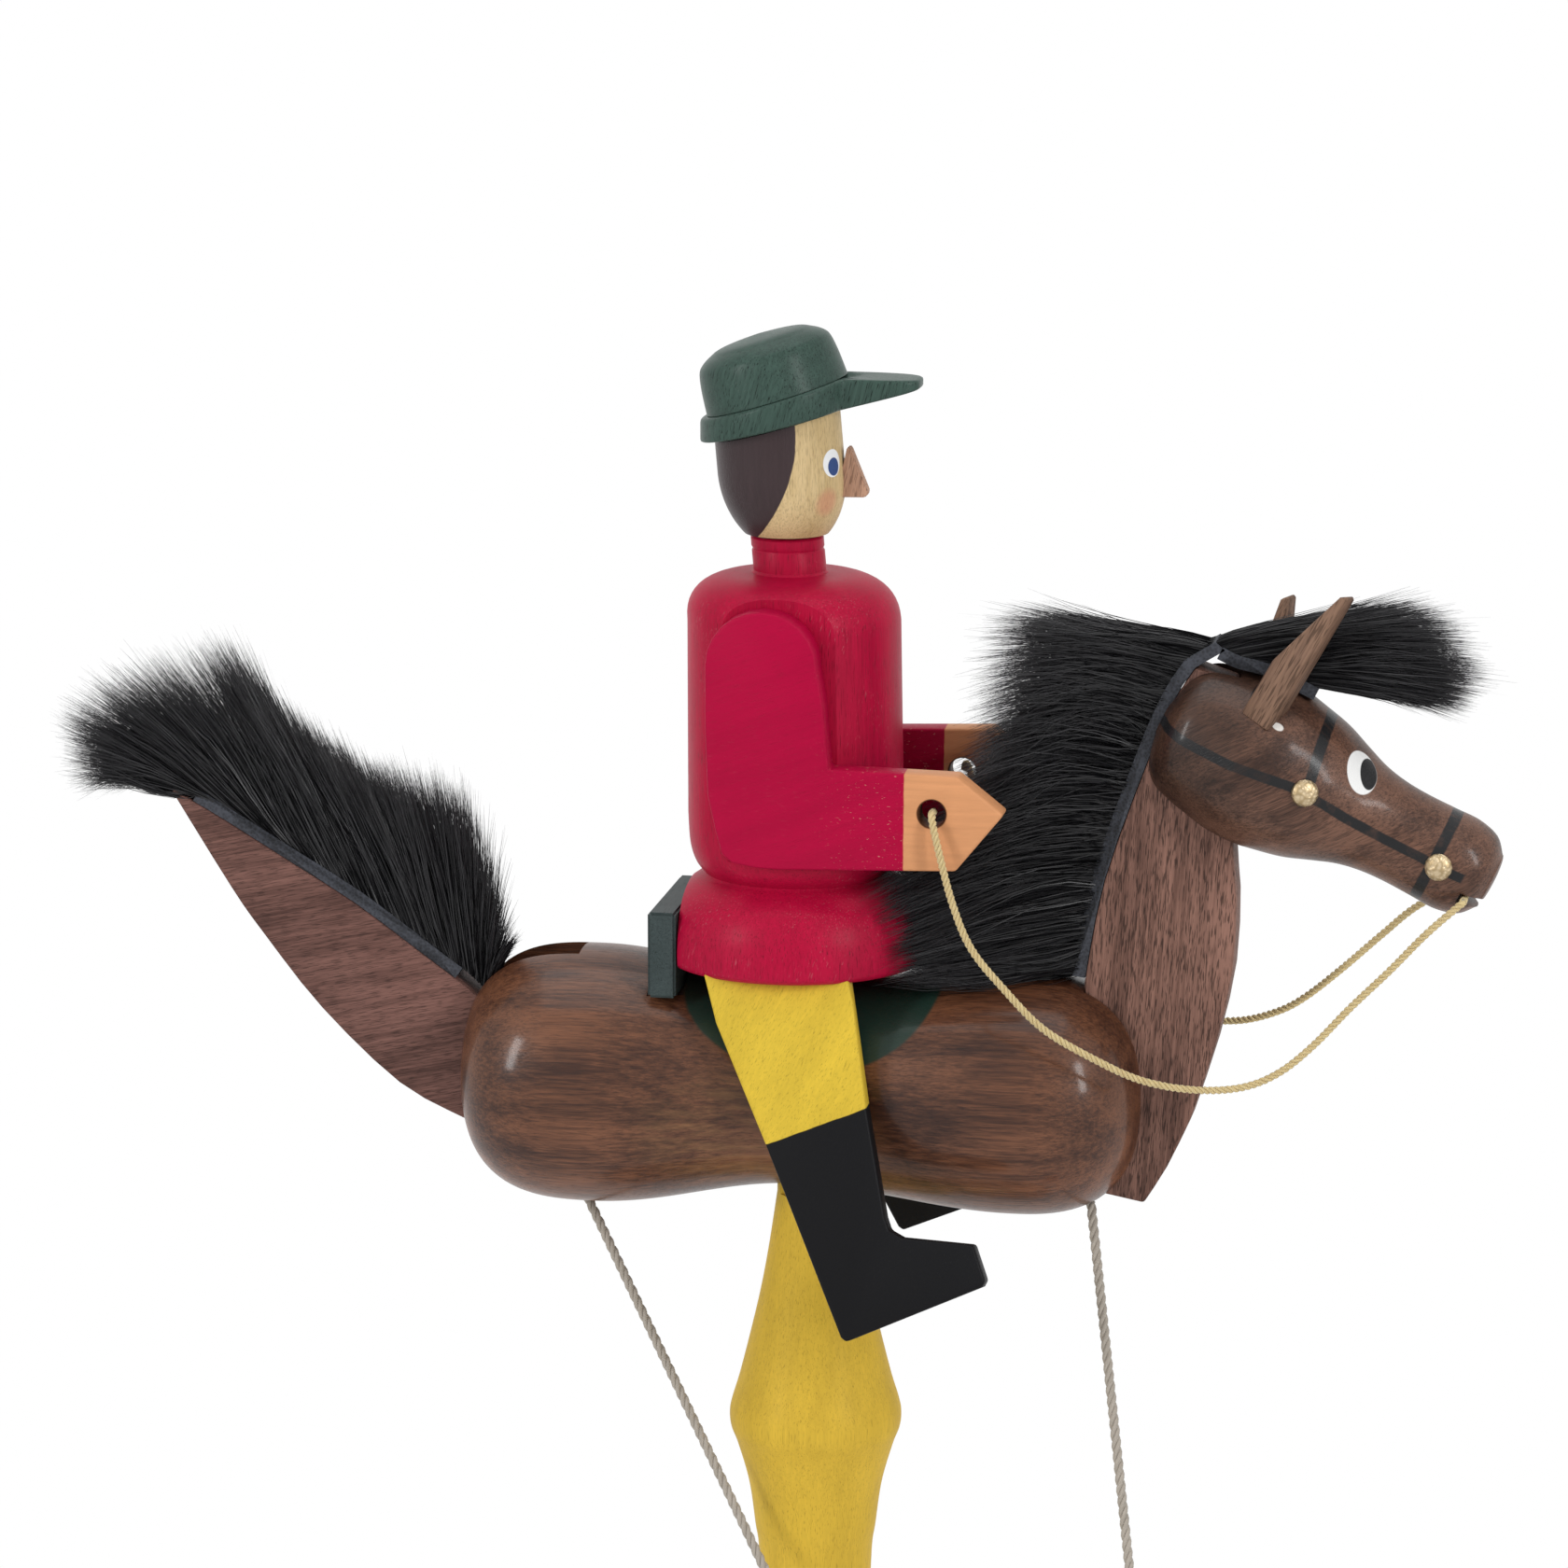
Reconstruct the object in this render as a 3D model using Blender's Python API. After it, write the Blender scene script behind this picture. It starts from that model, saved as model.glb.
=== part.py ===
import math

import bmesh
import bpy
from mathutils import Matrix, Vector

for thing in list(bpy.data.objects):
    bpy.data.objects.remove(thing)

# Lengths are in millimetres here and become metres in the mesh builders.
# The horse looks along +X, the viewer's side is -Y, the floor is z = 0.
to_metres = 0.001

glue_gap = 0.3
close_gap = 0.1
running_gap = 0.8
edge_round = 0.5
rock_degrees = 5.0

# Stand
body_axis_height = 322.0
base_radius = 75.0
base_thickness = 15.0
base_edge = 6.0
tenon_radius = 8.0
tenon_length = 10.0
foot_radius = 15.0
foot_height = 12.0
ankle_radius = 10.5
ankle_height = 26.0
shaft_radius = 15.0
shaft_drop = 208.0
waist_radius = 11.0
waist_drop = 126.0
flare_radius = 16.7
flare_drop = 75.0
post_top_radius = 7.6
shoulder_drop = 24.0
tongue_thickness = 8.0

# Pivot
pin_radius = 2.0
pin_clearance = 0.1
pin_forward = 0.0
pin_rise = 8.0

# Horse body, turned about the X axis
body_drop = 1.8
rear_bulge_radius = 25.6
rear_bulge_x = -43.5
rear_end_length = 26.6
rear_end_power = 2.9
waist_body_radius = 20.3
waist_body_x = -3.0
front_bulge_radius = 24.2
front_bulge_x = 40.0
front_end_length = 25.2
front_end_power = 2.6
board_thickness = 9.4
string_hole_radius = 1.6
string_hole_depth = 4.0
rear_string_x = -46.3
front_string_x = 54.8

# Tail and neck boards with leather strips and fur
tail_tenon_end = -46.8
tail_tenon_top = 12.0
tail_tenon_bottom = -11.7
strip_thickness = 2.5
strip_width = 9.0
fur_thickness = 14.0
neck_kerf_top = 53.7
neck_kerf_bottom = 57.4

# Head, turned about an axis that points down along the nose
head_x = 90.0
head_z = 64.1
head_pitch = 26.0
mouth_slit = 2.4
mouth_depth = 5.0
mouth_drop = 4.0
ear_width = 6.3
ear_thickness = 5.6
ear_length = 29.8
ear_tip = 1.1
ear_straight = 9.0
ear_spread = 10.6
near_ear_back = 7.2
far_ear_back = 9.0
ear_twist = -17.0
near_ear_lean = 29.2
near_ear_socket = 3.0
far_ear_lean = 4.0
far_ear_socket = 11.9
stud_radius = 2.7
stud_height = 1.3
cheek_stud_u = 6.6
cheek_stud_rise = 2.0
bit_stud_u = 35.8

# Saddle back
cantle_thickness = 5.5
cantle_front_x = -24.9
cantle_half_width = 17.0
cantle_depth = 11.5
cantle_rise = 12.2

# Rider
rider_x = -4.0
seat_height = 22.8
cantle_bottom = seat_height - cantle_depth
cantle_top = seat_height + cantle_rise
seat_boss_radius = 15.5
skirt_radius = 23.6
skirt_height = 19.3
belt_radius = 18.0
trunk_radius = 20.8
trunk_top = 76.2
shoulder_round = 8.2
chest_height = 64.0
neck_lean = 5.0
collar_radius = 7.1
collar_top = 83.5
face_radius = 12.4
face_centre = 96.8
chin_length = 15.6
face_straight = 14.0
neck_dowel_radius = 2.5
neck_dowel_length = 24.0
nose_thickness = 3.4
arm_flat = 16.8
arm_thickness = 6.0
hand_hole_radius = 2.7
hand_hole_x = 26.3
hand_hole_z = 58.0
leg_splay = 14.0
leg_thickness = 5.2
far_leg_lift = 3.5
cap_x = -7.7
cap_radius = 14.9
visor_length = 28.2
brim_slope = 17.3
brim_top_at_axis = 134.7
brim_bottom_at_axis = 129.3
brim_bottom_slope = 15.5
visor_tip_thickness = 1.2
visor_side_thickness = 1.8
crown_radius = 14.2
crown_height = 12.4

# Cords and ball
string_radius = 1.0
rein_radius = 0.8
ball_radius = 19.0
ball_x = 94.3
ball_y = -74.0
ball_drop = 270.8
string_seat = 7.0


def material(name, colour, roughness, metallic=0.0):
    made = bpy.data.materials.new(name)
    made.use_nodes = True
    shader = made.node_tree.nodes["Principled BSDF"]
    shader.inputs["Base Color"].default_value = (*colour, 1.0)
    shader.inputs["Roughness"].default_value = roughness
    shader.inputs["Metallic"].default_value = metallic
    return made


def frame(name, place, parent=None, turn_y=0.0):
    empty = bpy.data.objects.new(name, None)
    bpy.context.collection.objects.link(empty)
    empty.location = [value * to_metres for value in place]
    empty.rotation_euler = (0.0, math.radians(turn_y), 0.0)
    empty.parent = parent
    return empty


def solid(name, verts, faces, look, parent, place=(0, 0, 0), turn=(0, 0, 0)):
    mesh = bpy.data.meshes.new(name)
    mesh.from_pydata([Vector(v) * to_metres for v in verts], [], faces)
    work = bmesh.new()
    work.from_mesh(mesh)
    bmesh.ops.recalc_face_normals(work, faces=work.faces)
    work.to_mesh(mesh)
    work.free()
    mesh.shade_smooth()
    mesh.set_sharp_from_angle(angle=math.radians(35))
    made = bpy.data.objects.new(name, mesh)
    bpy.context.collection.objects.link(made)
    made.location = [value * to_metres for value in place]
    made.rotation_euler = [math.radians(value) for value in turn]
    made.parent = parent
    if look:
        mesh.materials.append(look)
    else:
        made.hide_render = True
        made.display_type = "WIRE"
    return made


def lathe(profile, segments):
    """Rings of a profile of (radius, height) points from bottom to top, closed at both ends."""
    if profile[0][0] > 0:
        profile = [(0.0, profile[0][1])] + profile
    if profile[-1][0] > 0:
        profile = profile + [(0.0, profile[-1][1])]
    verts = [(0.0, 0.0, profile[0][1])]
    for radius, height in profile[1:-1]:
        for step in range(segments):
            angle = 2 * math.pi * step / segments
            verts.append((radius * math.cos(angle), radius * math.sin(angle), height))
    verts.append((0.0, 0.0, profile[-1][1]))
    rings = len(profile) - 2
    last = len(verts) - 1
    faces = []
    for step in range(segments):
        after = (step + 1) % segments
        faces.append((0, 1 + after, 1 + step))
        for ring in range(rings - 1):
            low = 1 + ring * segments
            high = low + segments
            faces.append((low + step, low + after, high + after, high + step))
        top = 1 + (rings - 1) * segments
        faces.append((top + step, top + after, last))
    return verts, faces


def prism(outline, thickness):
    """A board: an outline of (x, z) points, thick along y and centred on it."""
    count = len(outline)
    verts = [(x, -thickness / 2, z) for x, z in outline]
    verts += [(x, thickness / 2, z) for x, z in outline]
    faces = [tuple(range(count)), tuple(range(2 * count - 1, count - 1, -1))]
    for i in range(count):
        j = (i + 1) % count
        faces.append((i, j, count + j, count + i))
    return verts, faces


def box(low, high):
    (x0, y0, z0), (x1, y1, z1) = low, high
    verts, faces = prism([(x0, z0), (x1, z0), (x1, z1), (x0, z1)], y1 - y0)
    return [(x, y + (y0 + y1) / 2, z) for x, y, z in verts], faces


def smooth(points, steps):
    """Points on a smooth curve through the given points, with equal steps between neighbours."""
    found = []
    for i in range(len(points) - 1):
        before = Vector(points[max(i - 1, 0)])
        start, end = Vector(points[i]), Vector(points[i + 1])
        after = Vector(points[min(i + 2, len(points) - 1)])
        for step in range(steps):
            t = step / steps
            a = 2 * start + (end - before) * t
            b = (2 * before - 5 * start + 4 * end - after) * t * t
            c = (3 * start - before - 3 * end + after) * t ** 3
            found.append(tuple((a + b + c) / 2))
    return found + [tuple(points[-1])]


def shifted(path, distance):
    """The path moved sideways, to the left of its direction."""
    moved = []
    for i, (x, z) in enumerate(path):
        x0, z0 = path[max(i - 1, 0)]
        x1, z1 = path[min(i + 1, len(path) - 1)]
        length = math.hypot(x1 - x0, z1 - z0)
        moved.append((x - (z1 - z0) / length * distance, z + (x1 - x0) / length * distance))
    return moved


def rounded(piece, width=edge_round, segments=2):
    bevel = piece.modifiers.new("edges", "BEVEL")
    bevel.width = width * to_metres
    bevel.segments = segments
    bevel.limit_method = "ANGLE"
    bevel.angle_limit = math.radians(40)


def combine(piece, other, operation="DIFFERENCE"):
    change = piece.modifiers.new(other.name, "BOOLEAN")
    change.operation = operation
    change.solver = "EXACT"
    change.object = other


def rod(name, start, end, radius, look, parent, segments=14):
    """A straight round rod between two points."""
    span = Vector(end) - Vector(start)
    turn = Vector((0, 0, 1)).rotation_difference(span).to_euler()
    verts, faces = lathe([(radius, 0.0), (radius, span.length)], segments)
    degrees = [math.degrees(angle) for angle in turn]
    return solid(name, verts, faces, look, parent, start, degrees)


def cord(name, points, radius, look, parent):
    data = bpy.data.curves.new(name, "CURVE")
    data.dimensions = "3D"
    data.bevel_depth = radius * to_metres
    data.bevel_resolution = 2
    data.use_fill_caps = True
    spline = data.splines.new("POLY")
    spline.points.add(len(points) - 1)
    for target, point in zip(spline.points, points):
        target.co = (*(Vector(point) * to_metres), 1.0)
    data.materials.append(look)
    made = bpy.data.objects.new(name, data)
    bpy.context.collection.objects.link(made)
    made.parent = parent
    return made


def body_radius(x):
    """Bulges joined by raised cosines at the waist, superellipse quarters at both ends."""
    if x < rear_bulge_x:
        part = min(1.0, (rear_bulge_x - x) / rear_end_length)
        return rear_bulge_radius * (1 - part ** rear_end_power) ** (1 / rear_end_power)
    if x > front_bulge_x:
        part = min(1.0, (x - front_bulge_x) / front_end_length)
        return front_bulge_radius * (1 - part ** front_end_power) ** (1 / front_end_power)
    bulge, where = rear_bulge_radius, rear_bulge_x
    if x > waist_body_x:
        bulge, where = front_bulge_radius, front_bulge_x
    rise = (1 - math.cos(math.pi * (x - waist_body_x) / (where - waist_body_x))) / 2
    return waist_body_radius + (bulge - waist_body_radius) * rise


def body_profile(extra=0.0):
    rear, front = rear_bulge_x - rear_end_length, front_bulge_x + front_end_length
    quarter = [math.sin(math.pi / 2 * k / 6) for k in range(1, 6)]
    xs = [rear_bulge_x - rear_end_length * q for q in reversed(quarter)]
    xs += [rear_bulge_x + (waist_body_x - rear_bulge_x) * k / 6 for k in range(6)]
    xs += [waist_body_x + (front_bulge_x - waist_body_x) * k / 7 for k in range(8)]
    xs += [front_bulge_x + front_end_length * q for q in quarter]
    rings = [(body_radius(x) + extra, x) for x in xs]
    return [(0.0, rear - extra)] + rings + [(0.0, front + extra)]


brown_body = material("body_wood", (0.10, 0.035, 0.016), 0.22)
brown_board = material("board_wood", (0.19, 0.066, 0.026), 0.35)
brown_ear = material("ear_wood", (0.19, 0.066, 0.026), 0.4)
yellow_post = material("post_yellow", (0.62, 0.38, 0.05), 0.5)
green_base = material("base_green", (0.02, 0.075, 0.045), 0.4)
red_ball = material("ball_red", (0.40, 0.03, 0.03), 0.35)
red_coat = material("coat_red", (0.40, 0.03, 0.03), 0.45)
red_arm = material("arm_red", (0.40, 0.03, 0.03), 0.45)
trousers = material("leg_yellow", (0.68, 0.42, 0.06), 0.5)
green_cap = material("cap_green", (0.02, 0.075, 0.045), 0.4)
green_saddle = material("saddle_green", (0.02, 0.075, 0.045), 0.4)
face_wood = material("face_wood", (0.72, 0.43, 0.22), 0.4)
plain_wood = material("dowel_wood", (0.62, 0.42, 0.23), 0.6)
leather = material("leather", (0.12, 0.15, 0.18), 0.8)
black_fur = material("fur", (0.008, 0.008, 0.009), 0.7)
brass = material("brass", (0.75, 0.50, 0.16), 0.3, 1.0)
steel = material("steel", (0.5, 0.5, 0.5), 0.35, 1.0)
rein_cord = material("rein_cord", (0.72, 0.55, 0.22), 0.8)
string_cord = material("string_cord", (0.45, 0.40, 0.33), 0.85)

pin_place = (pin_forward, 0.0, body_axis_height + pin_rise)
horse_pivot = frame("horse_pivot", pin_place)
horse = frame("horse_frame", (-pin_forward, 0.0, -pin_rise), horse_pivot)
rider = frame("rider_frame", (rider_x, 0.0, seat_height), horse)
neck = frame("neck_frame", (0.0, 0.0, chest_height), rider, -neck_lean)
head = frame("head_frame", (head_x, 0.0, head_z), horse, head_pitch)
swing_pivot = frame("swing_pivot", (rear_string_x, 0.0, -body_drop - body_radius(rear_string_x)), horse)


def make_base():
    edge = base_radius - base_edge
    rim = [(base_radius - 1.5, 0.0), (base_radius, 1.5), (base_radius, base_thickness - base_edge)]
    for k in range(1, 6):
        angle = math.pi / 2 * k / 5
        rise = base_thickness - base_edge + base_edge * math.sin(angle)
        rim.append((edge + base_edge * math.cos(angle), rise))
    base = solid("base", *lathe(rim, 44), green_base, None)
    depth = base_thickness - tenon_length - glue_gap
    socket = lathe([(tenon_radius + glue_gap, depth), (tenon_radius + glue_gap, 20.0)], 24)
    combine(base, solid("base_socket", *socket, None, None))


def make_post():
    top = base_thickness + glue_gap
    axis = body_axis_height
    pin = axis + pin_rise
    stations = [
        (foot_radius, top + foot_height * 0.4),
        (foot_radius * 0.93, top + foot_height * 0.8),
        (ankle_radius, top + ankle_height),
        (shaft_radius, axis - shaft_drop),
        (waist_radius, axis - waist_drop),
        (waist_radius * 1.1, axis - flare_drop - 24.0),
        (flare_radius * 0.78, axis - flare_drop - 11.5),
        (flare_radius * 0.97, axis - flare_drop - 3.5),
        (flare_radius, axis - flare_drop),
        (flare_radius * 0.87, axis - flare_drop + 14.5),
        (flare_radius * 0.7, axis - flare_drop + 26.2),
        (post_top_radius + 1.4, axis - shoulder_drop - 10.0),
        (post_top_radius, axis - shoulder_drop),
    ]
    profile = [(tenon_radius, top - tenon_length - glue_gap), (tenon_radius, top)]
    profile += [(foot_radius * 0.93, top), (foot_radius, top + 1.5)]
    profile += smooth(stations[:5], 2)[:-1] + smooth(stations[4:10], 2)[:-1] + stations[9:]
    for k in range(6):
        angle = math.pi / 2 * k / 6
        profile.append((post_top_radius * math.cos(angle), pin + post_top_radius * math.sin(angle)))
    profile.append((0.0, pin + post_top_radius))
    post = solid("post", *lathe(profile, 28), yellow_post, None)
    for side in (-1, 1):
        near, far = sorted((side * tongue_thickness / 2, side * 30.0))
        block = box((-30, near, axis - shoulder_drop), (30, far, pin + 20))
        combine(post, solid("tongue_flat", *block, None, None))
    bore = rod("tongue_bore", (0, -20, 0), (0, 20, 0), pin_radius + pin_clearance, None, horse_pivot)
    combine(post, bore)


def belly_slot():
    """Room for the post's tongue: the front wall is the stop that keeps the horse level at rest,
    and the rear wall slants back so that the nose can rise by the rock angle."""
    reach = post_top_radius + glue_gap
    tilt = math.radians(rock_degrees)
    angles = [math.pi * k / 12 for k in range(13)]
    outline = [(reach * math.cos(angle), reach * math.sin(angle)) for angle in angles]
    drop = pin_rise + rear_bulge_radius + 5.0
    rear = reach / math.cos(tilt) + drop * math.tan(tilt) + running_gap
    outline += [(-rear, -drop), (reach, -drop)]
    mesh = prism(outline, tongue_thickness + 2 * running_gap)
    return solid("belly_slot", *mesh, None, horse_pivot)


def make_horse_body():
    place = (0, 0, -body_drop)
    body = solid("horse_body", *lathe(body_profile(), 36), brown_body, horse, place, (0, 90, 0))
    half = board_thickness / 2 + glue_gap
    slot = box((-120, -half, tail_tenon_bottom - glue_gap), (tail_tenon_end + glue_gap, half, 60))
    combine(body, solid("tail_slot", *slot, None, horse))
    lean = (neck_kerf_top - neck_kerf_bottom) / 45.0
    kerf = [(neck_kerf_bottom - glue_gap + lean * z, z - 22.0) for z in (-20.0, 70.0)]
    kerf = [kerf[0], (120.0, -42.0), (120.0, 48.0), kerf[1]]
    combine(body, solid("neck_kerf", *prism(kerf, 2 * half), None, horse))
    rear = cantle_front_x - cantle_thickness - glue_gap
    seat = box((rear, -40, cantle_bottom - glue_gap), (cantle_front_x + glue_gap, 40, 60))
    combine(body, solid("cantle_slot", *seat, None, horse))
    combine(body, belly_slot())
    bore = rod("body_bore", (0, -40, 0), (0, 40, 0), pin_radius + glue_gap, None, horse_pivot)
    combine(body, bore)
    for x in (rear_string_x, front_string_x):
        low = -body_drop - body_radius(x)
        ends = (x, 0, low - 5.0), (x, 0, low + string_hole_depth)
        combine(body, rod("string_hole", *ends, string_hole_radius, None, horse, 10))
    reach = math.sqrt(waist_body_radius ** 2 - (pin_rise + body_drop) ** 2) - 0.5
    rod("pivot_pin", (0, -reach, 0), (0, reach, 0), pin_radius, steel, horse_pivot)


def trimmed_board(name, outline):
    piece = solid(name, *prism(outline, board_thickness), brown_board, horse)
    rounded(piece)
    return piece


def strip_and_fur(prefix, path, crest):
    """A leather strip along the left of a path, and fur from the strip out to its crest."""
    inner = shifted(path, close_gap)
    outer = shifted(path, close_gap + strip_thickness)
    strip = prism(inner + outer[::-1], strip_width)
    solid(prefix + "_strip", *strip, leather, horse)
    root = shifted(path, close_gap + glue_gap + strip_thickness)
    fur = solid(prefix + "_hair", *prism(root + crest, fur_thickness), black_fur, horse)
    rounded(fur, 2.0, 1)


def make_tail():
    upper = [(-124.6, 51.0), (-117.5, 47.0), (-104.7, 39.3), (-91.9, 31.6), (-79.1, 22.4), (-66.0, 13.0)]
    lower = [(-70.2, -11.4), (-83.2, -4.7), (-98.8, 9.9), (-110.6, 24.7), (-117.1, 33.9), (-128.9, 53.0)]
    edge = smooth(upper, 2)
    tenon = [(tail_tenon_end, tail_tenon_top), (tail_tenon_end, tail_tenon_bottom)]
    trimmed_board("tail_board", edge + tenon + smooth(lower, 3) + [(-128.2, 53.3)])
    crest = [(-62.5, 23.0), (-63.0, 38.0), (-70.0, 54.0), (-83.0, 58.0), (-101.0, 65.0), (-118.0, 81.0)]
    crest += [(-126.0, 82.0), (-138.0, 78.0), (-152.0, 68.0), (-148.0, 58.0)]
    strip_and_fur("tail", edge[:-1], crest)


def neck_outline():
    rear = smooth([(neck_kerf_top, 21.5), (57.5, 42.2), (65.6, 66.0), (70.6, 78.2), (74.6, 84.6)], 3)
    front = smooth([(82.2, 82.0), (82.2, 50.1), (83.0, 40.0), (82.5, 25.2), (79.4, 10.1), (74.7, -5.1)], 2)
    front += smooth([(74.7, -5.1), (70.3, -14.7), (65.8, -22.2)], 2)[1:]
    return rear, front


def make_neck():
    rear, front = neck_outline()
    trimmed_board("neck_board", rear + front + [(neck_kerf_bottom, -20.6)])
    low = front_bulge_radius - body_drop + close_gap
    edge = [(neck_kerf_top + 0.2, low)] + [point for point in rear if point[1] > low + 2.0] + [(76.4, 86.8)]
    crest = [(74.0, 93.0), (60.0, 90.0), (43.0, 94.5), (36.0, 88.0), (32.5, 75.0), (27.0, 55.0)]
    crest += [(20.6, 40.0), (20.6, 30.0), (24.0, low + 0.4), (45.0, low + 0.4)]
    strip_and_fur("mane", edge, crest)


def head_profile():
    skull = [(0.0, -24.4), (6.0, -23.9), (10.5, -22.4), (13.2, -19.9), (14.6, -16.0), (15.5, -11.8)]
    brow = [(16.3, -7.0), (16.3, -1.5), (15.6, 2.6), (14.3, 8.4), (12.3, 13.7), (10.6, 18.4)]
    muzzle = [(9.7, 23.0), (9.4, 28.0), (9.5, 34.0), (9.6, 39.0), (8.4, 43.4), (5.7, 45.9), (0.0, 46.8)]
    return skull + brow + muzzle


def head_radius(u):
    for (r0, u0), (r1, u1) in zip(head_profile(), head_profile()[1:]):
        if u0 <= u <= u1:
            return r0 + (r1 - r0) * (u - u0) / (u1 - u0)
    return 0.0


def make_ear(name, side, lean, back, socket, skull):
    """A square peg cut slanting to a narrow tip; its lower end sits in a socket of the head."""
    pitch = math.radians(head_pitch)
    rise = math.sqrt(head_radius(-back) ** 2 - ear_spread ** 2)
    tilt = math.radians(lean)
    x = head_x - back * math.cos(pitch) + rise * math.sin(pitch) - socket * math.sin(tilt)
    z = head_z + back * math.sin(pitch) + rise * math.cos(pitch) - socket * math.cos(tilt)
    half = ear_width / 2
    outline = [(-half, 0.0), (half, 0.0), (half, ear_length), (half - ear_tip, ear_length)]
    outline += [(-half, near_ear_socket + ear_straight)]
    place = (x, side * ear_spread, z)
    twist = Matrix.Rotation(math.radians(ear_twist), 3, "Z")
    verts, faces = prism(outline, ear_thickness)
    ear = solid(name, [twist @ Vector(v) for v in verts], faces, brown_ear, horse, place, (0, lean, 0))
    rounded(ear, 0.4, 1)
    spare, deep = half + glue_gap, ear_thickness / 2 + glue_gap
    verts, faces = box((-spare, -deep, -glue_gap), (spare, deep, ear_length + 6.0))
    verts = [twist @ Vector(v) for v in verts]
    combine(skull, solid(name + "_socket", verts, faces, None, horse, place, (0, lean, 0)))


def make_stud(name, side, u, rise):
    """A domed tack head that lies flat on the sloping side of the turned head."""
    quarter = [math.pi / 2 * k / 4 for k in range(4)]
    rings = [(stud_radius * math.cos(a), stud_height * math.sin(a)) for a in quarter]
    ahead, behind = head_radius(u + stud_radius), head_radius(u - stud_radius)
    radius = max(head_radius(u), (ahead + behind) / 2)
    outward = Vector((0.0, side * math.sqrt(radius ** 2 - rise ** 2), rise)) / radius
    normal = (Vector((behind - ahead, 0.0, 0.0)) + outward * 2 * stud_radius).normalized()
    place = Vector((u, 0.0, 0.0)) + outward * radius + normal * glue_gap
    turn = Vector((0, 0, 1)).rotation_difference(normal).to_euler()
    degrees = [math.degrees(angle) for angle in turn]
    solid(name, *lathe(rings + [(0.0, stud_height)], 14), brass, head, place, degrees)


def make_head():
    skull = solid("horse_head", *lathe(head_profile(), 32), brown_board, head, turn=(0, 90, 0))
    rear, front = neck_outline()
    reach = max(x for x, z in front if z > 45.0) + glue_gap
    half = board_thickness / 2 + glue_gap
    kerf = box((head_x - 60, -half, 20), (reach, half, 110))
    combine(skull, solid("head_kerf", *kerf, None, horse))
    nose = head_profile()[-1][1]
    low = -mouth_drop - mouth_slit / 2
    slit = box((nose - mouth_depth, -30, low), (nose + 9, 30, low + mouth_slit))
    combine(skull, solid("mouth", *slit, None, head))
    make_ear("near_ear", -1, near_ear_lean, near_ear_back, near_ear_socket, skull)
    make_ear("far_ear", 1, far_ear_lean, far_ear_back, far_ear_socket, skull)
    for side, word in ((-1, "near"), (1, "far")):
        make_stud(word + "_cheek_stud", side, cheek_stud_u, cheek_stud_rise)
        make_stud(word + "_bit_stud", side, bit_stud_u, 0.0)
    poll = smooth([(78.6, 86.4), (82.6, 84.6), (88.1, 83.3), (97.2, 79.0)], 3)
    crest = [(99.5, 82.0), (114.3, 77.5), (127.5, 76.0), (126.9, 85.9), (116.5, 98.0), (86.0, 91.5)]
    strip_and_fur("forelock", poll, crest)


def make_cantle():
    block = box((cantle_front_x - cantle_thickness, -cantle_half_width, cantle_bottom),
                (cantle_front_x, cantle_half_width, cantle_top))
    rounded(solid("cantle", *block, green_saddle, horse))


def face_profile(extra=0.0):
    """A straight peg above, half an ellipse below for the chin; heights from the chest."""
    steps = 7
    centre = face_centre - chest_height
    points = [(0.0, centre - chin_length - extra)]
    for k in range(1, steps + 1):
        angle = math.pi / 2 * k / steps
        low = centre - (chin_length + extra) * math.cos(angle)
        points.append(((face_radius + extra) * math.sin(angle), low))
    return points + [(face_radius + extra, centre + face_straight)]


def coat_profile():
    rim = skirt_radius
    skirt = [(rim, 1.2), (rim - 0.1, 4.2), (rim - 1.2, 12.6), (rim - 2.6, skirt_height - 2.7)]
    chest = [(belt_radius + 1.4, skirt_height + 3.8), (belt_radius + 2.4, skirt_height + 6.4)]
    profile = [(seat_boss_radius, -6.0), (seat_boss_radius, 0.0), (rim - 0.7, 0.0)]
    profile += skirt + [(belt_radius + 0.3, skirt_height), (belt_radius, skirt_height + 0.4)] + chest
    profile.append((trunk_radius, skirt_height + 9.9))
    for k in range(6):
        angle = math.pi / 2 * k / 5
        inner = trunk_radius - shoulder_round * 1.3
        profile.append((inner + shoulder_round * 1.3 * math.cos(angle),
                        trunk_top - shoulder_round + shoulder_round * math.sin(angle)))
    ring = collar_radius
    profile += [(ring, trunk_top + 0.4), (ring, collar_top - 3.0), (ring - 0.5, collar_top - 2.4)]
    return profile + [(ring, collar_top - 1.8), (ring - 0.2, collar_top)]


def make_coat():
    """Turned, then bent back above the chest as the neck leans; hollowed to sit on the horse."""
    verts, faces = lathe(coat_profile(), 36)
    chest = Vector((0.0, 0.0, chest_height))
    bend = Matrix.Rotation(math.radians(-neck_lean), 3, "Y")
    verts = [chest + bend @ (Vector(v) - chest) if v[2] > chest_height else v for v in verts]
    coat = solid("rider_coat", verts, faces, red_coat, rider)
    back = lathe(body_profile(glue_gap), 36)
    combine(coat, solid("saddle_hollow", *back, None, horse, (0, 0, -body_drop), (0, 90, 0)))
    rest = box((-80, -40, 0), (cantle_front_x + glue_gap, 40, 60))
    combine(coat, solid("cantle_flat", *rest, None, horse))
    for side in (-1, 1):
        near, far = sorted((side * arm_flat, side * 40.0))
        flat = box((-40, near, skirt_height + 3.0), (40, far, collar_top))
        combine(coat, solid("arm_flat", *flat, None, rider))
    return coat


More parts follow.
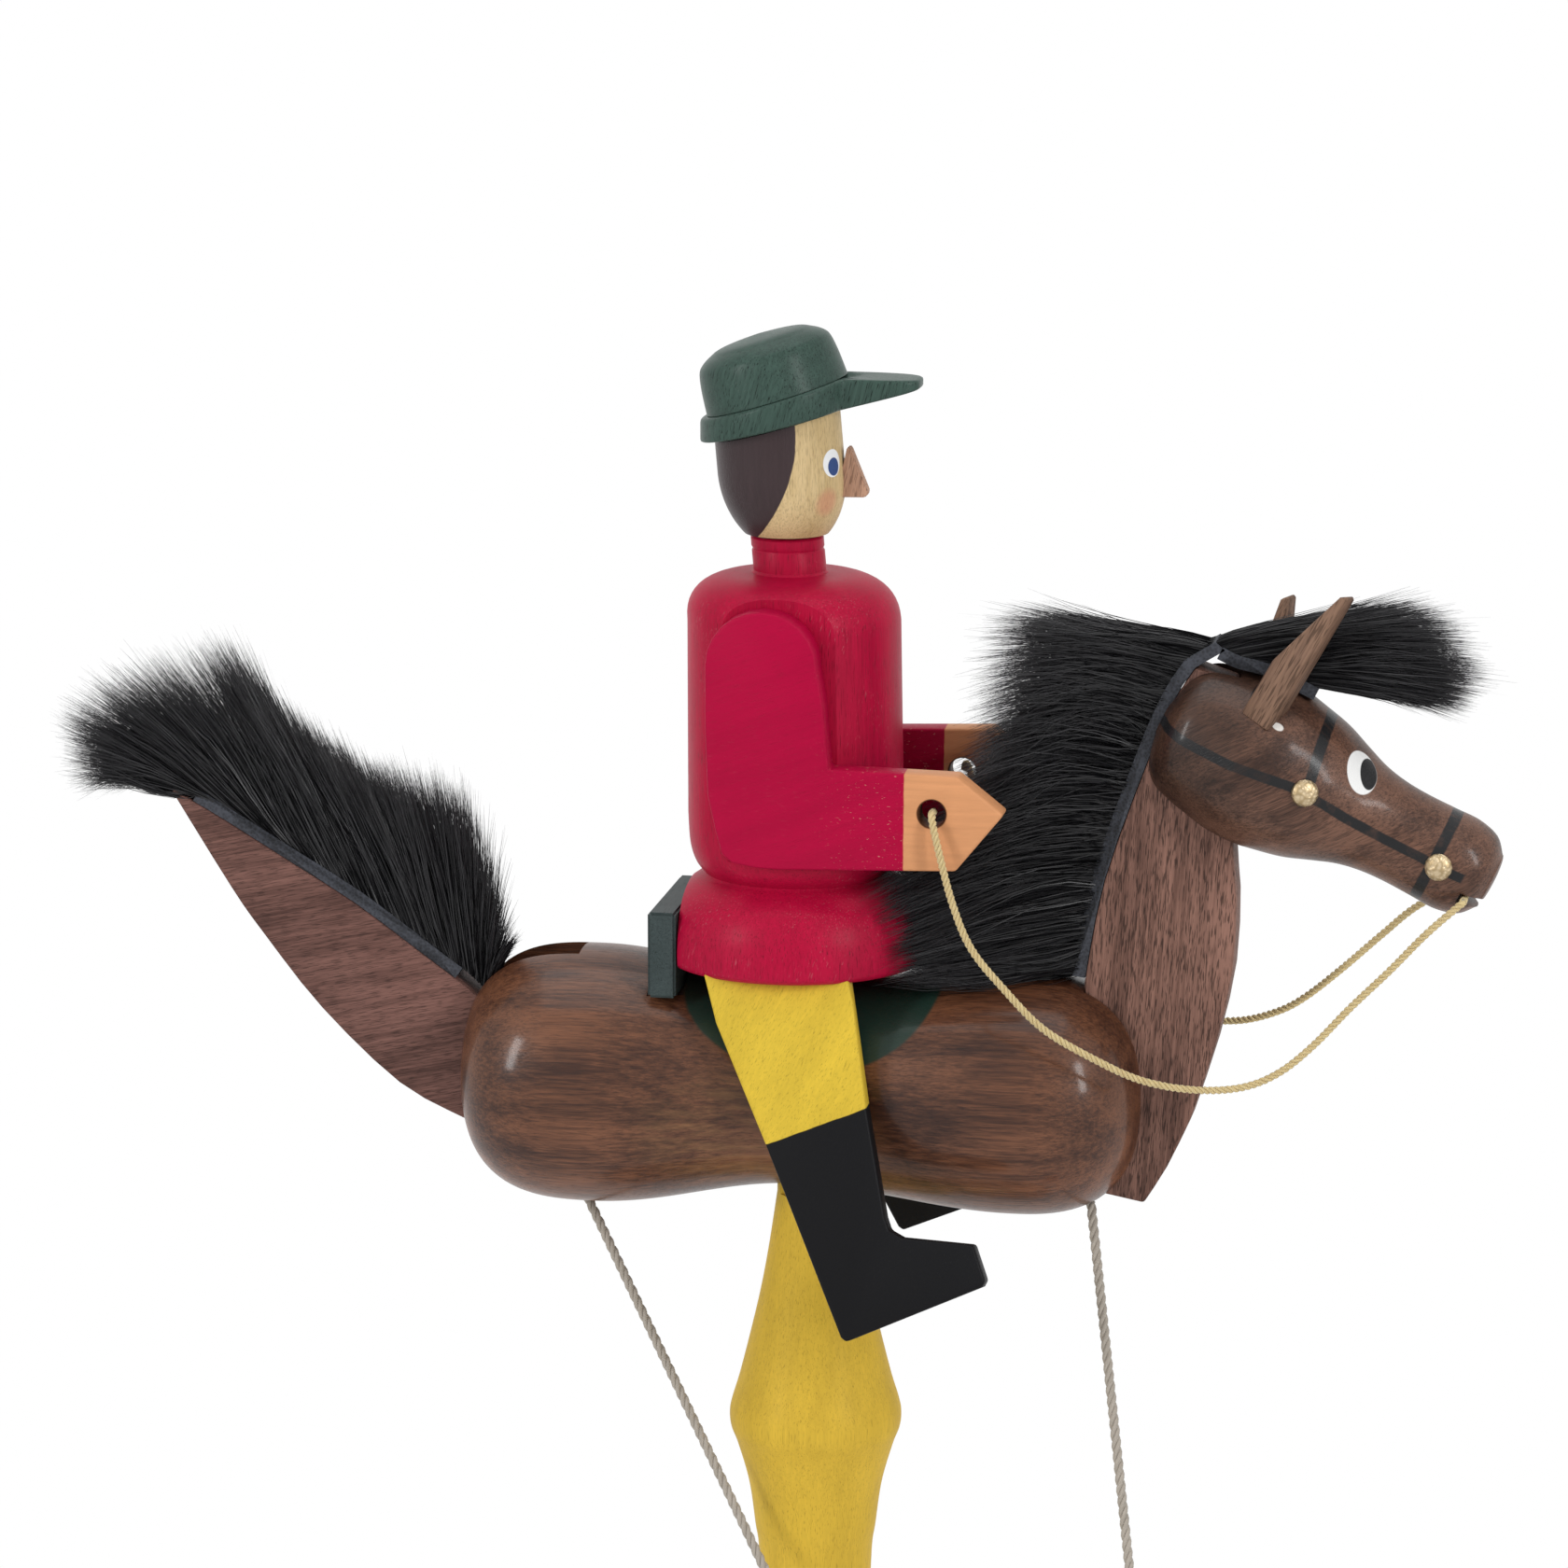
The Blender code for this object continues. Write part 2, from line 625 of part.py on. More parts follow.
def make_rider():
    coat = make_coat()
    egg = solid("rider_head", *lathe(face_profile(), 32), face_wood, neck)
    collar = collar_top - chest_height
    below = box((-30, -30, collar - 30), (30, 30, collar + glue_gap))
    combine(egg, solid("chin_flat", *below, None, neck))
    dowel_low = collar - neck_dowel_length * 0.6
    dowel_high = dowel_low + neck_dowel_length
    ends = (0, 0, dowel_low), (0, 0, dowel_high)
    rod("neck_dowel", *ends, neck_dowel_radius, plain_wood, neck)
    ends = (0, 0, dowel_low - glue_gap), (0, 0, dowel_high + glue_gap)
    bore = rod("dowel_bore", *ends, neck_dowel_radius + glue_gap, None, neck)
    combine(coat, bore)
    combine(egg, bore)
    make_nose()
    make_cap(egg)


def make_nose():
    """A thin sawn wedge glued to the front of the face."""
    outline = [(2.0, 124.4), (6.9, 125.0), (7.6, 124.6), (10.6, 116.6), (10.3, 115.6), (2.0, 115.2)]
    nose = solid("rider_nose", *prism(outline, nose_thickness), face_wood, horse)
    rounded(nose, edge_round, 1)
    combine(nose, solid("face_room", *lathe(face_profile(close_gap), 32), None, neck))


def brim_plan():
    """Round behind and along the head, drawn out to the visor in front."""
    points = []
    for k in range(40):
        angle = 2 * math.pi * k / 40
        reach = visor_length if math.cos(angle) > 0 else cap_radius
        points.append((cap_x + reach * math.cos(angle), cap_radius * math.sin(angle)))
    return points


def brim_top(x, y):
    """The cap's slope as far as the crown, then drawn out to the thin edge of the visor."""
    bend = cap_x + math.sqrt(max(0.0, crown_radius ** 2 - y ** 2))
    slope, under = math.tan(math.radians(brim_slope)), math.tan(math.radians(brim_bottom_slope))
    flat = brim_top_at_axis + slope * (min(x, bend) - cap_x)
    side = min(1.0, (y / cap_radius) ** 2)
    reach = visor_length * math.sqrt(1.0 - side)
    end = brim_bottom_at_axis + under * reach + visor_tip_thickness + visor_side_thickness * side
    part = min(1.0, max(0.0, x - bend) / max(cap_x + reach - bend, 0.5))
    return flat + (end - flat) * part ** 2


def make_cap(egg):
    lower = math.tan(math.radians(brim_bottom_slope))
    plan = brim_plan()
    count = len(plan)
    rows = [[(x, y, brim_bottom_at_axis + lower * (x - cap_x)) for x, y in plan]]
    for share in (1.0, 0.75, 0.5):
        ring = [(cap_x + (x - cap_x) * share, y * share) for x, y in plan]
        rows.append([(x, y, brim_top(x, y)) for x, y in ring])
    verts = [point for row in rows for point in row] + [(cap_x, 0.0, brim_top(cap_x, 0.0))]
    faces = [tuple(range(count))]
    for row in range(len(rows) - 1):
        for i in range(count):
            j = (i + 1) % count
            faces.append((row * count + i, row * count + j, (row + 1) * count + j, (row + 1) * count + i))
    inner = (len(rows) - 1) * count
    faces += [(inner + i, inner + (i + 1) % count, len(verts) - 1) for i in range(count)]
    rounded(solid("cap_brim", verts, faces, green_cap, horse), edge_round, 1)
    room = box((-60, -40, -glue_gap), (60, 40, 40))
    place = (cap_x, 0, brim_bottom_at_axis)
    combine(egg, solid("cap_room", *room, None, horse, place, (0, -brim_bottom_slope, 0)))
    wide, tall = crown_radius, crown_height
    profile = [(wide, close_gap), (wide - 0.4, tall * 0.4), (wide - 1.0, tall * 0.66)]
    profile += [(wide - 2.0, tall * 0.77), (wide - 3.8, tall * 0.86), (wide - 6.6, tall * 0.94)]
    profile.append((0.0, tall))
    place = (cap_x, 0, brim_top_at_axis)
    solid("cap_crown", *lathe(profile, 36), green_cap, horse, place, (0, -brim_slope, 0))


def arm_outline():
    """Rounded shoulder, bent elbow with a crisp inner corner, and a pointed hand."""
    turns = [math.pi * k / 12 for k in range(13)]
    arch = [(-6.9 + 10.9 * math.cos(a), 85.6 + 10.5 * math.sin(a)) for a in turns]
    hand = [(-12.6, 46.9), (-8.0, 46.1), (-3.4, 45.9), (30.9, 46.9), (40.1, 58.2), (32.6, 66.8)]
    elbow = [(6.3, 65.9), (5.8, 71.4), (5.2, 78.5)]
    return hand + elbow + arch + [(-17.8, 73.3), (-17.3, 60.0), (-15.9, 53.5), (-14.6, 48.6)]


def make_arm(name, side):
    y = side * (arm_flat + glue_gap + arm_thickness / 2)
    arm = solid(name, *prism(arm_outline(), arm_thickness), red_arm, horse, (0, y, 0))
    ends = (hand_hole_x, y - 10, hand_hole_z), (hand_hole_x, y + 10, hand_hole_z)
    combine(arm, rod(name + "_hole", *ends, hand_hole_radius, None, horse, 18))
    rounded(arm)


def make_leg(name, side, lift):
    """A sawn leg that leans outwards; its inner face touches the body's side."""
    splay = math.radians(leg_splay)
    seat = max(body_radius(x) for x in (-17.6, 14.6)) + glue_gap - body_drop * math.sin(splay)
    middle = seat + leg_thickness / 2
    top = (seat_height - 0.4 - (seat + leg_thickness) * math.sin(splay)) / math.cos(splay)
    foot = [(-4.9, -13.9), (11.4, -50.4), (12.4, -51.2), (38.4, -39.4), (39.0, -38.2), (36.4, -31.4)]
    foot += [(22.5, -30.7), (19.9, -29.4), (19.0, -27.0), (14.5, -6.1)]
    knee = [(-18.4, top), (-15.6, 9.0)] + [(x, w + lift) for x, w in foot]
    outline = knee + [(11.2, 12.0), (10.0, top)]
    place = (0, side * middle * math.cos(splay), middle * math.sin(splay))
    leg = solid(name, *prism(outline, leg_thickness), trousers, horse, place, (side * leg_splay, 0, 0))
    rounded(leg)


def make_reins():
    """One cord: from inside the near hand down to the mouth, through the slit, and back to the far hand."""
    nose = head_profile()[-1][1]
    pitch = math.radians(head_pitch)
    u = nose - mouth_depth + rein_radius + 0.5
    bit_x = head_x + u * math.cos(pitch) - mouth_drop * math.sin(pitch)
    bit_z = head_z - u * math.sin(pitch) - mouth_drop * math.cos(pitch)
    hand = arm_flat + glue_gap + arm_thickness / 2
    out = hand + arm_thickness / 2
    near = [(hand_hole_x, -hand, hand_hole_z), (hand_hole_x + 0.3, -out - 1.4, hand_hole_z - 0.6)]
    near += [(28.2, -26.1, 51.3), (31.0, -26.8, 41.4), (34.7, -27.4, 33.0), (40.9, -27.7, 25.6)]
    near += [(48.8, -27.4, 17.7), (58.9, -25.6, 11.5), (67.6, -23.0, 7.2), (77.2, -20.0, 5.1)]
    near += [(85.9, -17.0, 5.2), (92.8, -15.0, 7.9), (99.2, -13.4, 13.2), (106.0, -12.2, 20.6)]
    near += [(113.3, -11.4, 28.0), (120.2, -11.0, 35.5), (bit_x, -9.4, bit_z)]
    far = [(bit_x, 9.4, bit_z), (117.1, 11.6, 36.0), (109.9, 12.2, 29.6), (102.6, 13.2, 22.6)]
    far += [(95.3, 14.6, 16.1), (89.7, 15.8, 12.5), (82.2, 17.8, 9.8), (74.0, 20.6, 9.2), (64.0, 24.2, 11.6)]
    far += [(53.0, 27.2, 17.6), (42.0, 28.0, 26.0), (34.0, 27.6, 36.5), (29.0, 26.6, 47.0)]
    far += [(hand_hole_x + 0.1, out + 1.5, hand_hole_z - 0.6), (hand_hole_x, hand, hand_hole_z)]
    points = smooth(near, 2) + smooth(far, 2)
    cord("reins", points, rein_radius, rein_cord, horse)


def make_pendulum():
    origin = Vector((rear_string_x, 0, -body_drop - body_radius(rear_string_x)))
    ball = Vector((ball_x, ball_y, -ball_drop)) - origin
    turns = [math.pi * k / 14 for k in range(1, 14)]
    rings = [(ball_radius * math.sin(a), -ball_radius * math.cos(a)) for a in turns]
    profile = [(0.0, -ball_radius)] + rings + [(0.0, ball_radius)]
    weight = solid("pendulum_ball", *lathe(profile, 28), red_ball, swing_pivot, ball)
    for name, x in (("rear_string", rear_string_x), ("front_string", front_string_x)):
        start = Vector((x, 0, -body_drop - body_radius(x))) - origin
        line = (start - ball).normalized()
        end = ball + line * (ball_radius - string_seat)
        steps = 40
        points = [start.lerp(end, k / steps) for k in range(steps + 1)]
        cord(name, points, string_radius, string_cord, swing_pivot)
        ends = end - line * glue_gap, ball + line * (ball_radius + 6.0)
        combine(weight, rod(name + "_bore", *ends, string_radius + glue_gap, None, swing_pivot, 12))


make_base()
make_post()
make_horse_body()
make_tail()
make_neck()
make_head()
make_cantle()
make_rider()
for word, way in (("near", -1), ("far", 1)):
    make_arm(word + "_arm", way)
    make_leg(word + "_leg", way, far_leg_lift if way > 0 else 0.0)
make_reins()
make_pendulum()
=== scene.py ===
import math

import bmesh
import bpy
import numpy as np
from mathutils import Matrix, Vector


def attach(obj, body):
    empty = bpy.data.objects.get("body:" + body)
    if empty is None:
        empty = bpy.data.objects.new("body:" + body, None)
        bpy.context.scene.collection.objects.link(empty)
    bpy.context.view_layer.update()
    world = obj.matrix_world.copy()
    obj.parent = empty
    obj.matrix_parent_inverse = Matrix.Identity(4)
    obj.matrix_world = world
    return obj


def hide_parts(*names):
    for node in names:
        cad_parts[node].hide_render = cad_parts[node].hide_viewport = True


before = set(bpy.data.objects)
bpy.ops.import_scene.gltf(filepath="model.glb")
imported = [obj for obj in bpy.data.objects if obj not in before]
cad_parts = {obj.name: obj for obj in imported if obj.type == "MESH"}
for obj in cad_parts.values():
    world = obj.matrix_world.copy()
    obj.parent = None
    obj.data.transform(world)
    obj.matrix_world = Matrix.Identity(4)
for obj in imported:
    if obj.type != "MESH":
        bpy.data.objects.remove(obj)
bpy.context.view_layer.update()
mm = 0.001
axisZ = 322.0  # the body's axis above the floor; sizes are in millimetres
print("frame loaded:", len(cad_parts), "nodes")


class Piece(dict):  # the values of one piece, also read as attributes
    __getattr__ = dict.__getitem__


class Sock:  # a shader socket that takes part in ordinary maths
    def __init__(self, look, socket):
        self.look = look
        self.socket = socket

    def calc(self, operation, *others):
        values = dict(enumerate((self,) + others))
        return self.look.node("ShaderNodeMath", {"operation": operation}, values)

    def __add__(self, other):
        return self.calc("ADD", other)

    def __sub__(self, other):
        return self.calc("SUBTRACT", other)

    def __mul__(self, other):
        return self.calc("MULTIPLY", other)

    def __truediv__(self, other):
        return self.calc("DIVIDE", other)

    def __rsub__(self, other):
        return self.look.node("ShaderNodeMath", {"operation": "SUBTRACT"}, {0: other, 1: self})

    def __abs__(self):
        return self.calc("ABSOLUTE")

    __radd__ = __add__

    def ramp(self, low, high):  # 0 below low, 1 above high, smooth between
        values = {"Value": self, "From Min": low, "From Max": high}
        return self.look.node("ShaderNodeMapRange", {"interpolation_type": "SMOOTHSTEP"}, values)

    def below(self, edge, soft=0.15):  # 1 where the value is under the edge
        return 1 - self.ramp(edge - soft, edge + soft)

    def both(self, other):
        return self.calc("MINIMUM", other)

    def either(self, other):
        return self.calc("MAXIMUM", other)


class Graph:  # a node tree, of a material or of the world
    def __init__(self, owner):
        owner.use_nodes = True
        self.tree = owner.node_tree

    def node(self, kind, settings=None, values=None, out=0):
        made = self.tree.nodes.new(kind)
        for key, value in (settings or {}).items():
            setattr(made, key, value)
        for key, value in (values or {}).items():
            self.feed(made.inputs[key], value)
        return Sock(self, made.outputs[out])

    def feed(self, target, value):
        if isinstance(value, Sock):
            self.tree.links.new(value.socket, target)
        elif isinstance(value, tuple) and len(value) == 3 and target.type == "RGBA":
            target.default_value = (*value, 1.0)
        else:
            target.default_value = value


class Look(Graph):  # a material with one principled shader
    words = {"baseColor": "Base Color", "coat": "Coat Weight", "coatRoughness": "Coat Roughness",
             "sheen": "Sheen Weight", "specular": "Specular IOR Level"}

    def __init__(self, name):
        self.material = bpy.data.materials.new(name)
        super().__init__(self.material)
        self.shader = self.tree.nodes["Principled BSDF"]

    def set(self, **values):
        for key, value in values.items():
            self.feed(self.shader.inputs[self.words.get(key, key.title())], value)
        return self

    def spot(self):  # place on the piece, in millimetres
        return self.scaled(self.node("ShaderNodeTexCoord", out="Object"), (1 / mm, 1 / mm, 1 / mm))

    def uv(self):
        return self.node("ShaderNodeTexCoord", out="UV")

    def scaled(self, vector, by):
        return self.node("ShaderNodeVectorMath", {"operation": "MULTIPLY"}, {0: vector, 1: by})

    def turned(self, vector, tilt, yaw=0.0):  # about y and about z
        angles = (0.0, math.radians(tilt), math.radians(yaw))
        return self.node("ShaderNodeMapping", None, {"Vector": vector, "Rotation": angles})

    def parts(self, vector):
        split = self.tree.nodes.new("ShaderNodeSeparateXYZ")
        self.feed(split.inputs[0], vector)
        return [Sock(self, out) for out in split.outputs]

    def noise(self, vector, size, detail=3.0, rough=0.5):  # size along x, y and z
        squeezed = self.scaled(vector, tuple(1.0 / value for value in size))
        values = {"Vector": squeezed, "Scale": 1.0, "Detail": detail, "Roughness": rough}
        return self.node("ShaderNodeTexNoise", None, values)

    def blobs(self, vector, size, detail=3.0, rough=0.5):  # as large in every direction
        return self.noise(vector, (size, size, size), detail, rough)

    def waver(self, vector, size, reach):  # how far a painted edge strays
        return (self.blobs(vector, size, 2.0) - 0.5) * reach

    def cells(self, vector, feature, crowd):  # crowd is cells to a millimetre
        values = {"Vector": self.scaled(vector, (crowd, crowd, crowd)), "Scale": 1.0}
        return self.node("ShaderNodeTexVoronoi", {"feature": feature}, values)

    def mix(self, mask, first, second):
        values = {0: mask, 6: first, 7: second}
        return self.node("ShaderNodeMix", {"data_type": "RGBA"}, values, 2)

    def shade(self, colour, by):  # darker or lighter by a value
        return self.node("ShaderNodeVectorMath", {"operation": "SCALE"}, {0: colour, "Scale": by})

    def bump(self, height, strength, depth):
        values = {"Height": height, "Strength": strength, "Distance": depth * mm}
        return self.node("ShaderNodeBump", None, values)


# sizes of the wood's figure, and how far apart two seeds lie
figure = Piece(broad=(60.0, 7.0, 7.0), streak=(15.0, 0.5, 0.5), apart=(37.0, 11.0, 5.0))


def woodFigure(look, along, seed, pore):
    # three noises drawn out along the grain: broad figure, fine streaks, short pores
    away = tuple(seed * value for value in figure.apart)
    shift = look.node("ShaderNodeVectorMath", {"operation": "ADD"}, {0: along, 1: away})
    broad = look.noise(shift, figure.broad, 4.0, 0.55)
    streak = look.noise(shift, figure.streak, 3.0, 0.6)
    pores = look.noise(shift, (pore[0], pore[1], pore[1]), 1.0, 0.5)
    return broad, streak, pores


def stainedWood(name, wood, tilt, seed, patch=None):
    # figure between two browns, darker pores, blotches of stain; patch paints on top
    look = Look(name)
    spot = look.spot()
    broad, streak, pores = woodFigure(look, look.turned(spot, tilt), seed, wood.pore)
    blotch = look.blobs(spot, 22.0, 3.0, 0.6)
    tone = (broad * 0.9 + streak * 0.7 + blotch * 0.35).ramp(0.7, 1.26)  # the three weighed into one
    colour = look.mix(tone, wood.dark, wood.light)
    pore = pores.ramp(0.52, 0.64)
    colour = look.shade(colour, 1.0 - pore * wood.poreDepth)
    height = streak * 0.5 - pore * 0.8
    rough = wood.rough + streak * 0.14 + pore * 0.12
    if patch:
        colour, rough = patch(look, spot, colour, rough)
    look.set(baseColor=colour, roughness=rough, coat=wood.coat, coatRoughness=0.14, specular=0.2)
    look.set(normal=look.bump(height, 0.3, 0.12))
    return look.material


def paintedWood(name, paint, tilt, seed, patch=None, yaw=0.0):
    # thin paint: the grain shows as fine streaks, and brush strokes change the gloss
    look = Look(name)
    spot = look.spot()
    broad, streak, pores = woodFigure(look, look.turned(spot, tilt, yaw), seed, (3.2, 0.17))
    cloud = look.blobs(spot, 14.0, 4.0, 0.6)
    pore = pores.ramp(0.58, 0.72)
    seen = paint.show  # how much of the wood shows through
    worn = 1.0 + (cloud - 0.5) * 0.6 * seen + (streak - 0.5) * 1.1 * seen - pore * 0.9 * seen
    deep = tuple(value * 0.88 for value in paint.colour)
    pale = tuple(0.13 + 0.75 * value for value in paint.colour)
    painted = look.shade(look.mix(broad.ramp(0.35, 0.7), paint.colour, deep), worn)
    chips = look.blobs(spot, 2.6, 4.0, 0.7).ramp(0.735, 0.755) * paint.chips
    painted = look.mix(chips, painted, paint.under)
    slant = look.turned(spot, tilt - 18.0, yaw)  # scuffs lie aslant
    scuffs = look.noise(slant, (2.4, 0.3, 0.3), 2.0, 0.6).ramp(0.6, 0.7)
    painted = look.mix(scuffs * cloud.ramp(0.45, 0.62) * paint.scuff, painted, pale)
    rough = paint.rough + (streak - 0.5) * 0.22 + (cloud - 0.5) * 0.12
    height = streak * 0.6 - pore + cloud * 0.4 - chips
    if patch:
        painted, rough = patch(look, spot, painted, rough)
    look.set(baseColor=painted, roughness=rough, coat=paint.coat, coatRoughness=0.28, specular=0.09)
    look.set(normal=look.bump(height, 0.28, 0.12))
    return look.material


def pushMesh(verts, quads, uv=None):
    mesh = bpy.data.meshes.new("piece")
    mesh.vertices.add(len(verts))
    mesh.vertices.foreach_set("co", np.asarray(verts, np.float32).ravel())
    sides = quads.shape[1]
    mesh.loops.add(quads.size)
    mesh.loops.foreach_set("vertex_index", quads.ravel().astype(np.int32))
    mesh.polygons.add(len(quads))
    mesh.polygons.foreach_set("loop_start", np.arange(0, quads.size, sides, dtype=np.int32))
    mesh.update(calc_edges=True)
    if uv is not None:
        layer = mesh.uv_layers.new(name="along")
        layer.data.foreach_set("uv", uv[quads.ravel()].astype(np.float32).ravel())
    mesh.validate()
    mesh.shade_smooth()
    return mesh


def gridFaces(rows, columns):
    # quads between the neighbours of a grid that closes round its columns
    row, column = np.meshgrid(np.arange(rows - 1), np.arange(columns), indexing="ij")
    after = (column + 1) % columns
    here, further = row * columns, (row + 1) * columns
    corners = [here + column, here + after, further + after, further + column]
    return np.stack(corners, -1).reshape(-1, 4)


def linked(name, data):
    made = bpy.data.objects.new(name, data)
    bpy.context.scene.collection.objects.link(made)
    return made


def camel(node):  # the name of a node's piece
    first, *rest = node.split("_")
    return first + "".join(word.title() for word in rest)


def show(mesh, material, node, name=None, body="horse"):
    # the piece that takes a CAD node's place
    made = linked(name or camel(node), mesh)
    mesh.name = made.name
    mesh.materials.clear()
    mesh.materials.append(material)
    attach(made, body)
    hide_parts(node)
    return made


def tidyMesh(mesh, sharp=35.0):
    # merges doubled points and leaves edges sharp from the given angle on
    work = bmesh.new()
    work.from_mesh(mesh)
    bmesh.ops.remove_doubles(work, verts=work.verts, dist=2e-6)
    bmesh.ops.dissolve_degenerate(work, edges=work.edges, dist=1e-7)
    bmesh.ops.recalc_face_normals(work, faces=work.faces)
    work.to_mesh(mesh)
    work.free()
    mesh.shade_smooth()
    mesh.set_sharp_from_angle(angle=math.radians(sharp))
    return mesh


def carried(node, material):
    # the sawn CAD solid itself, merged and smooth between its sharp edges
    return show(tidyMesh(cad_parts[node].data.copy()), material, node)


def spline(points, steps):
    # Catmull-Rom curve through the points: each span blends its four neighbours by cubic weights
    knots = np.asarray(points, float)
    padded = np.vstack([knots[:1], knots, knots[-1:]])
    t = np.linspace(0, 1, steps, endpoint=False)[:, None]
    a, b, c, d = (padded[i:len(padded) - 3 + i][:, None] for i in range(4))
    square, cube = 2 * a - 5 * b + 4 * c - d, 3 * b - a - 3 * c + d
    spans = (2 * b + (c - a) * t + square * t ** 2 + cube * t ** 3) / 2
    return np.vstack([spans.reshape(-1, knots.shape[1]), knots[-1:]])


def turnedMesh(profile, base, segments=144, axis=(0, 0, 1)):
    # surface of revolution: radius r at height h, swung by an angle round an axis through base
    profile = np.asarray(profile, float)
    axis = np.asarray(axis, float) / np.linalg.norm(axis)
    side = np.cross(axis, (0.0, 1.0, 0.0))
    side /= np.linalg.norm(side)
    other = np.cross(axis, side)
    angle = np.linspace(0, 2 * np.pi, segments, endpoint=False)
    ring = np.cos(angle)[:, None] * side + np.sin(angle)[:, None] * other
    verts = np.asarray(base) + profile[:, 1, None, None] * axis + profile[:, 0, None, None] * ring
    return tidyMesh(pushMesh(verts.reshape(-1, 3) * mm, gridFaces(len(profile), segments)))


def cosSin(degrees):
    return math.cos(math.radians(degrees)), math.sin(math.radians(degrees))


def raised(points):  # from the body's axis to the floor
    return np.asarray(points, float) + (0.0, 0.0, axisZ)


def spotsOf(mesh):
    flat = np.empty(len(mesh.vertices) * 3, np.float32)
    mesh.vertices.foreach_get("co", flat)
    return flat.reshape(-1, 3)


def putSpots(mesh, spots):
    mesh.vertices.foreach_set("co", spots.ravel())
    mesh.update()
    return mesh


def moveEnd(mesh, beyond, step):
    # points beyond a corner in x and z move by one step, which draws out or trims a sawn end
    spots = spotsOf(mesh)
    chosen = (spots[:, 0] > beyond[0] * mm) & (spots[:, 2] > (beyond[1] + axisZ) * mm)
    spots[chosen] += np.array(step) * mm
    putSpots(mesh, spots)


def leanMesh(mesh, pivot, degrees):
    # points above the pivot shift back in step with their height over it
    spots = spotsOf(mesh)
    spots[:, 0] -= np.maximum(0.0, spots[:, 2] - pivot[2] * mm) * math.tan(math.radians(degrees))
    return putSpots(mesh, spots)


def meshFrom(work):
    mesh = bpy.data.meshes.new("piece")
    work.to_mesh(mesh)
    work.free()
    return mesh


def prismMesh(outline, half, edge):
    # a side view's outline, sawn from a board of the given half thickness, edges broken
    flat = np.asarray(outline, float)
    sides = [raised(np.c_[flat[:, 0], np.full(len(flat), y), flat[:, 1]]) for y in (-half, half)]
    work = bmesh.new()
    rings = [[work.verts.new(point * mm) for point in side] for side in sides]
    work.faces.new(rings[0])
    work.faces.new(rings[1][::-1])
    for i in range(len(flat)):
        j = (i + 1) % len(flat)
        work.faces.new((rings[0][j], rings[0][i], rings[1][i], rings[1][j]))
    bmesh.ops.bevel(work, geom=work.edges[:], offset=edge * mm, segments=2, affect="EDGES")
    return tidyMesh(meshFrom(work))


def boxTool(centre, half, pitch=0.0):
    # a saw cut as a box: centre from the body's axis, half sizes, pitch about Y in degrees
    work = bmesh.new()
    bmesh.ops.create_cube(work, size=2.0)
    cutter = linked("sawCut", meshFrom(work))
    cutter.location = Vector(raised(centre)) * mm
    cutter.scale = Vector(half) * mm
    cutter.rotation_euler = (0.0, math.radians(pitch), 0.0)
    return cutter


def carve(mesh, tools):
    # takes boxes or whole meshes away from a closed mesh
    host = linked("carveHost", mesh)
    tools = [boxTool(*tool) if isinstance(tool, tuple) else linked("cutter", tool) for tool in tools]
    for cutter in tools:
        change = host.modifiers.new("cut", "BOOLEAN")
        change.solver = "EXACT"
        change.object = cutter
    bpy.context.view_layer.update()
    graph = bpy.context.evaluated_depsgraph_get()
    cut = bpy.data.meshes.new_from_object(host.evaluated_get(graph))
    for thing in tools + [host]:
        bpy.data.objects.remove(thing)
    return tidyMesh(cut, 30.0)


# camera: the photograph's view
camera = Piece(
    azimuth=10.0, elevation=12.0, distance=1250.0, aim=(-6.4, 0.0, 57.9), lens=146.8, sensor=36.0)


def placeCamera():
    (ahead, aside), (level, up) = cosSin(camera.azimuth), cosSin(camera.elevation)
    back = Vector((aside * level, -ahead * level, up))
    data = bpy.data.cameras.new("photoView")
    data.lens = camera.lens
    data.sensor_width = camera.sensor
    seen = linked("photoView", data)
    seen.location = (Vector(raised(camera.aim)) + back * camera.distance) * mm
    seen.rotation_mode = "QUATERNION"
    seen.rotation_quaternion = (-back).to_track_quat("-Z", "Y")
    data.clip_start, data.clip_end = 0.01, 100.0
    bpy.context.scene.camera = seen
    print("camera placed")


placeCamera()


# cords: twisted yarns that run side by side along one route
# fat is a yarn's share of the radius, across a direction that no cord follows
twist = Piece(yarns=3, sides=8, step=0.45, fat=0.53, across=(0.11, 0.97, 0.2))


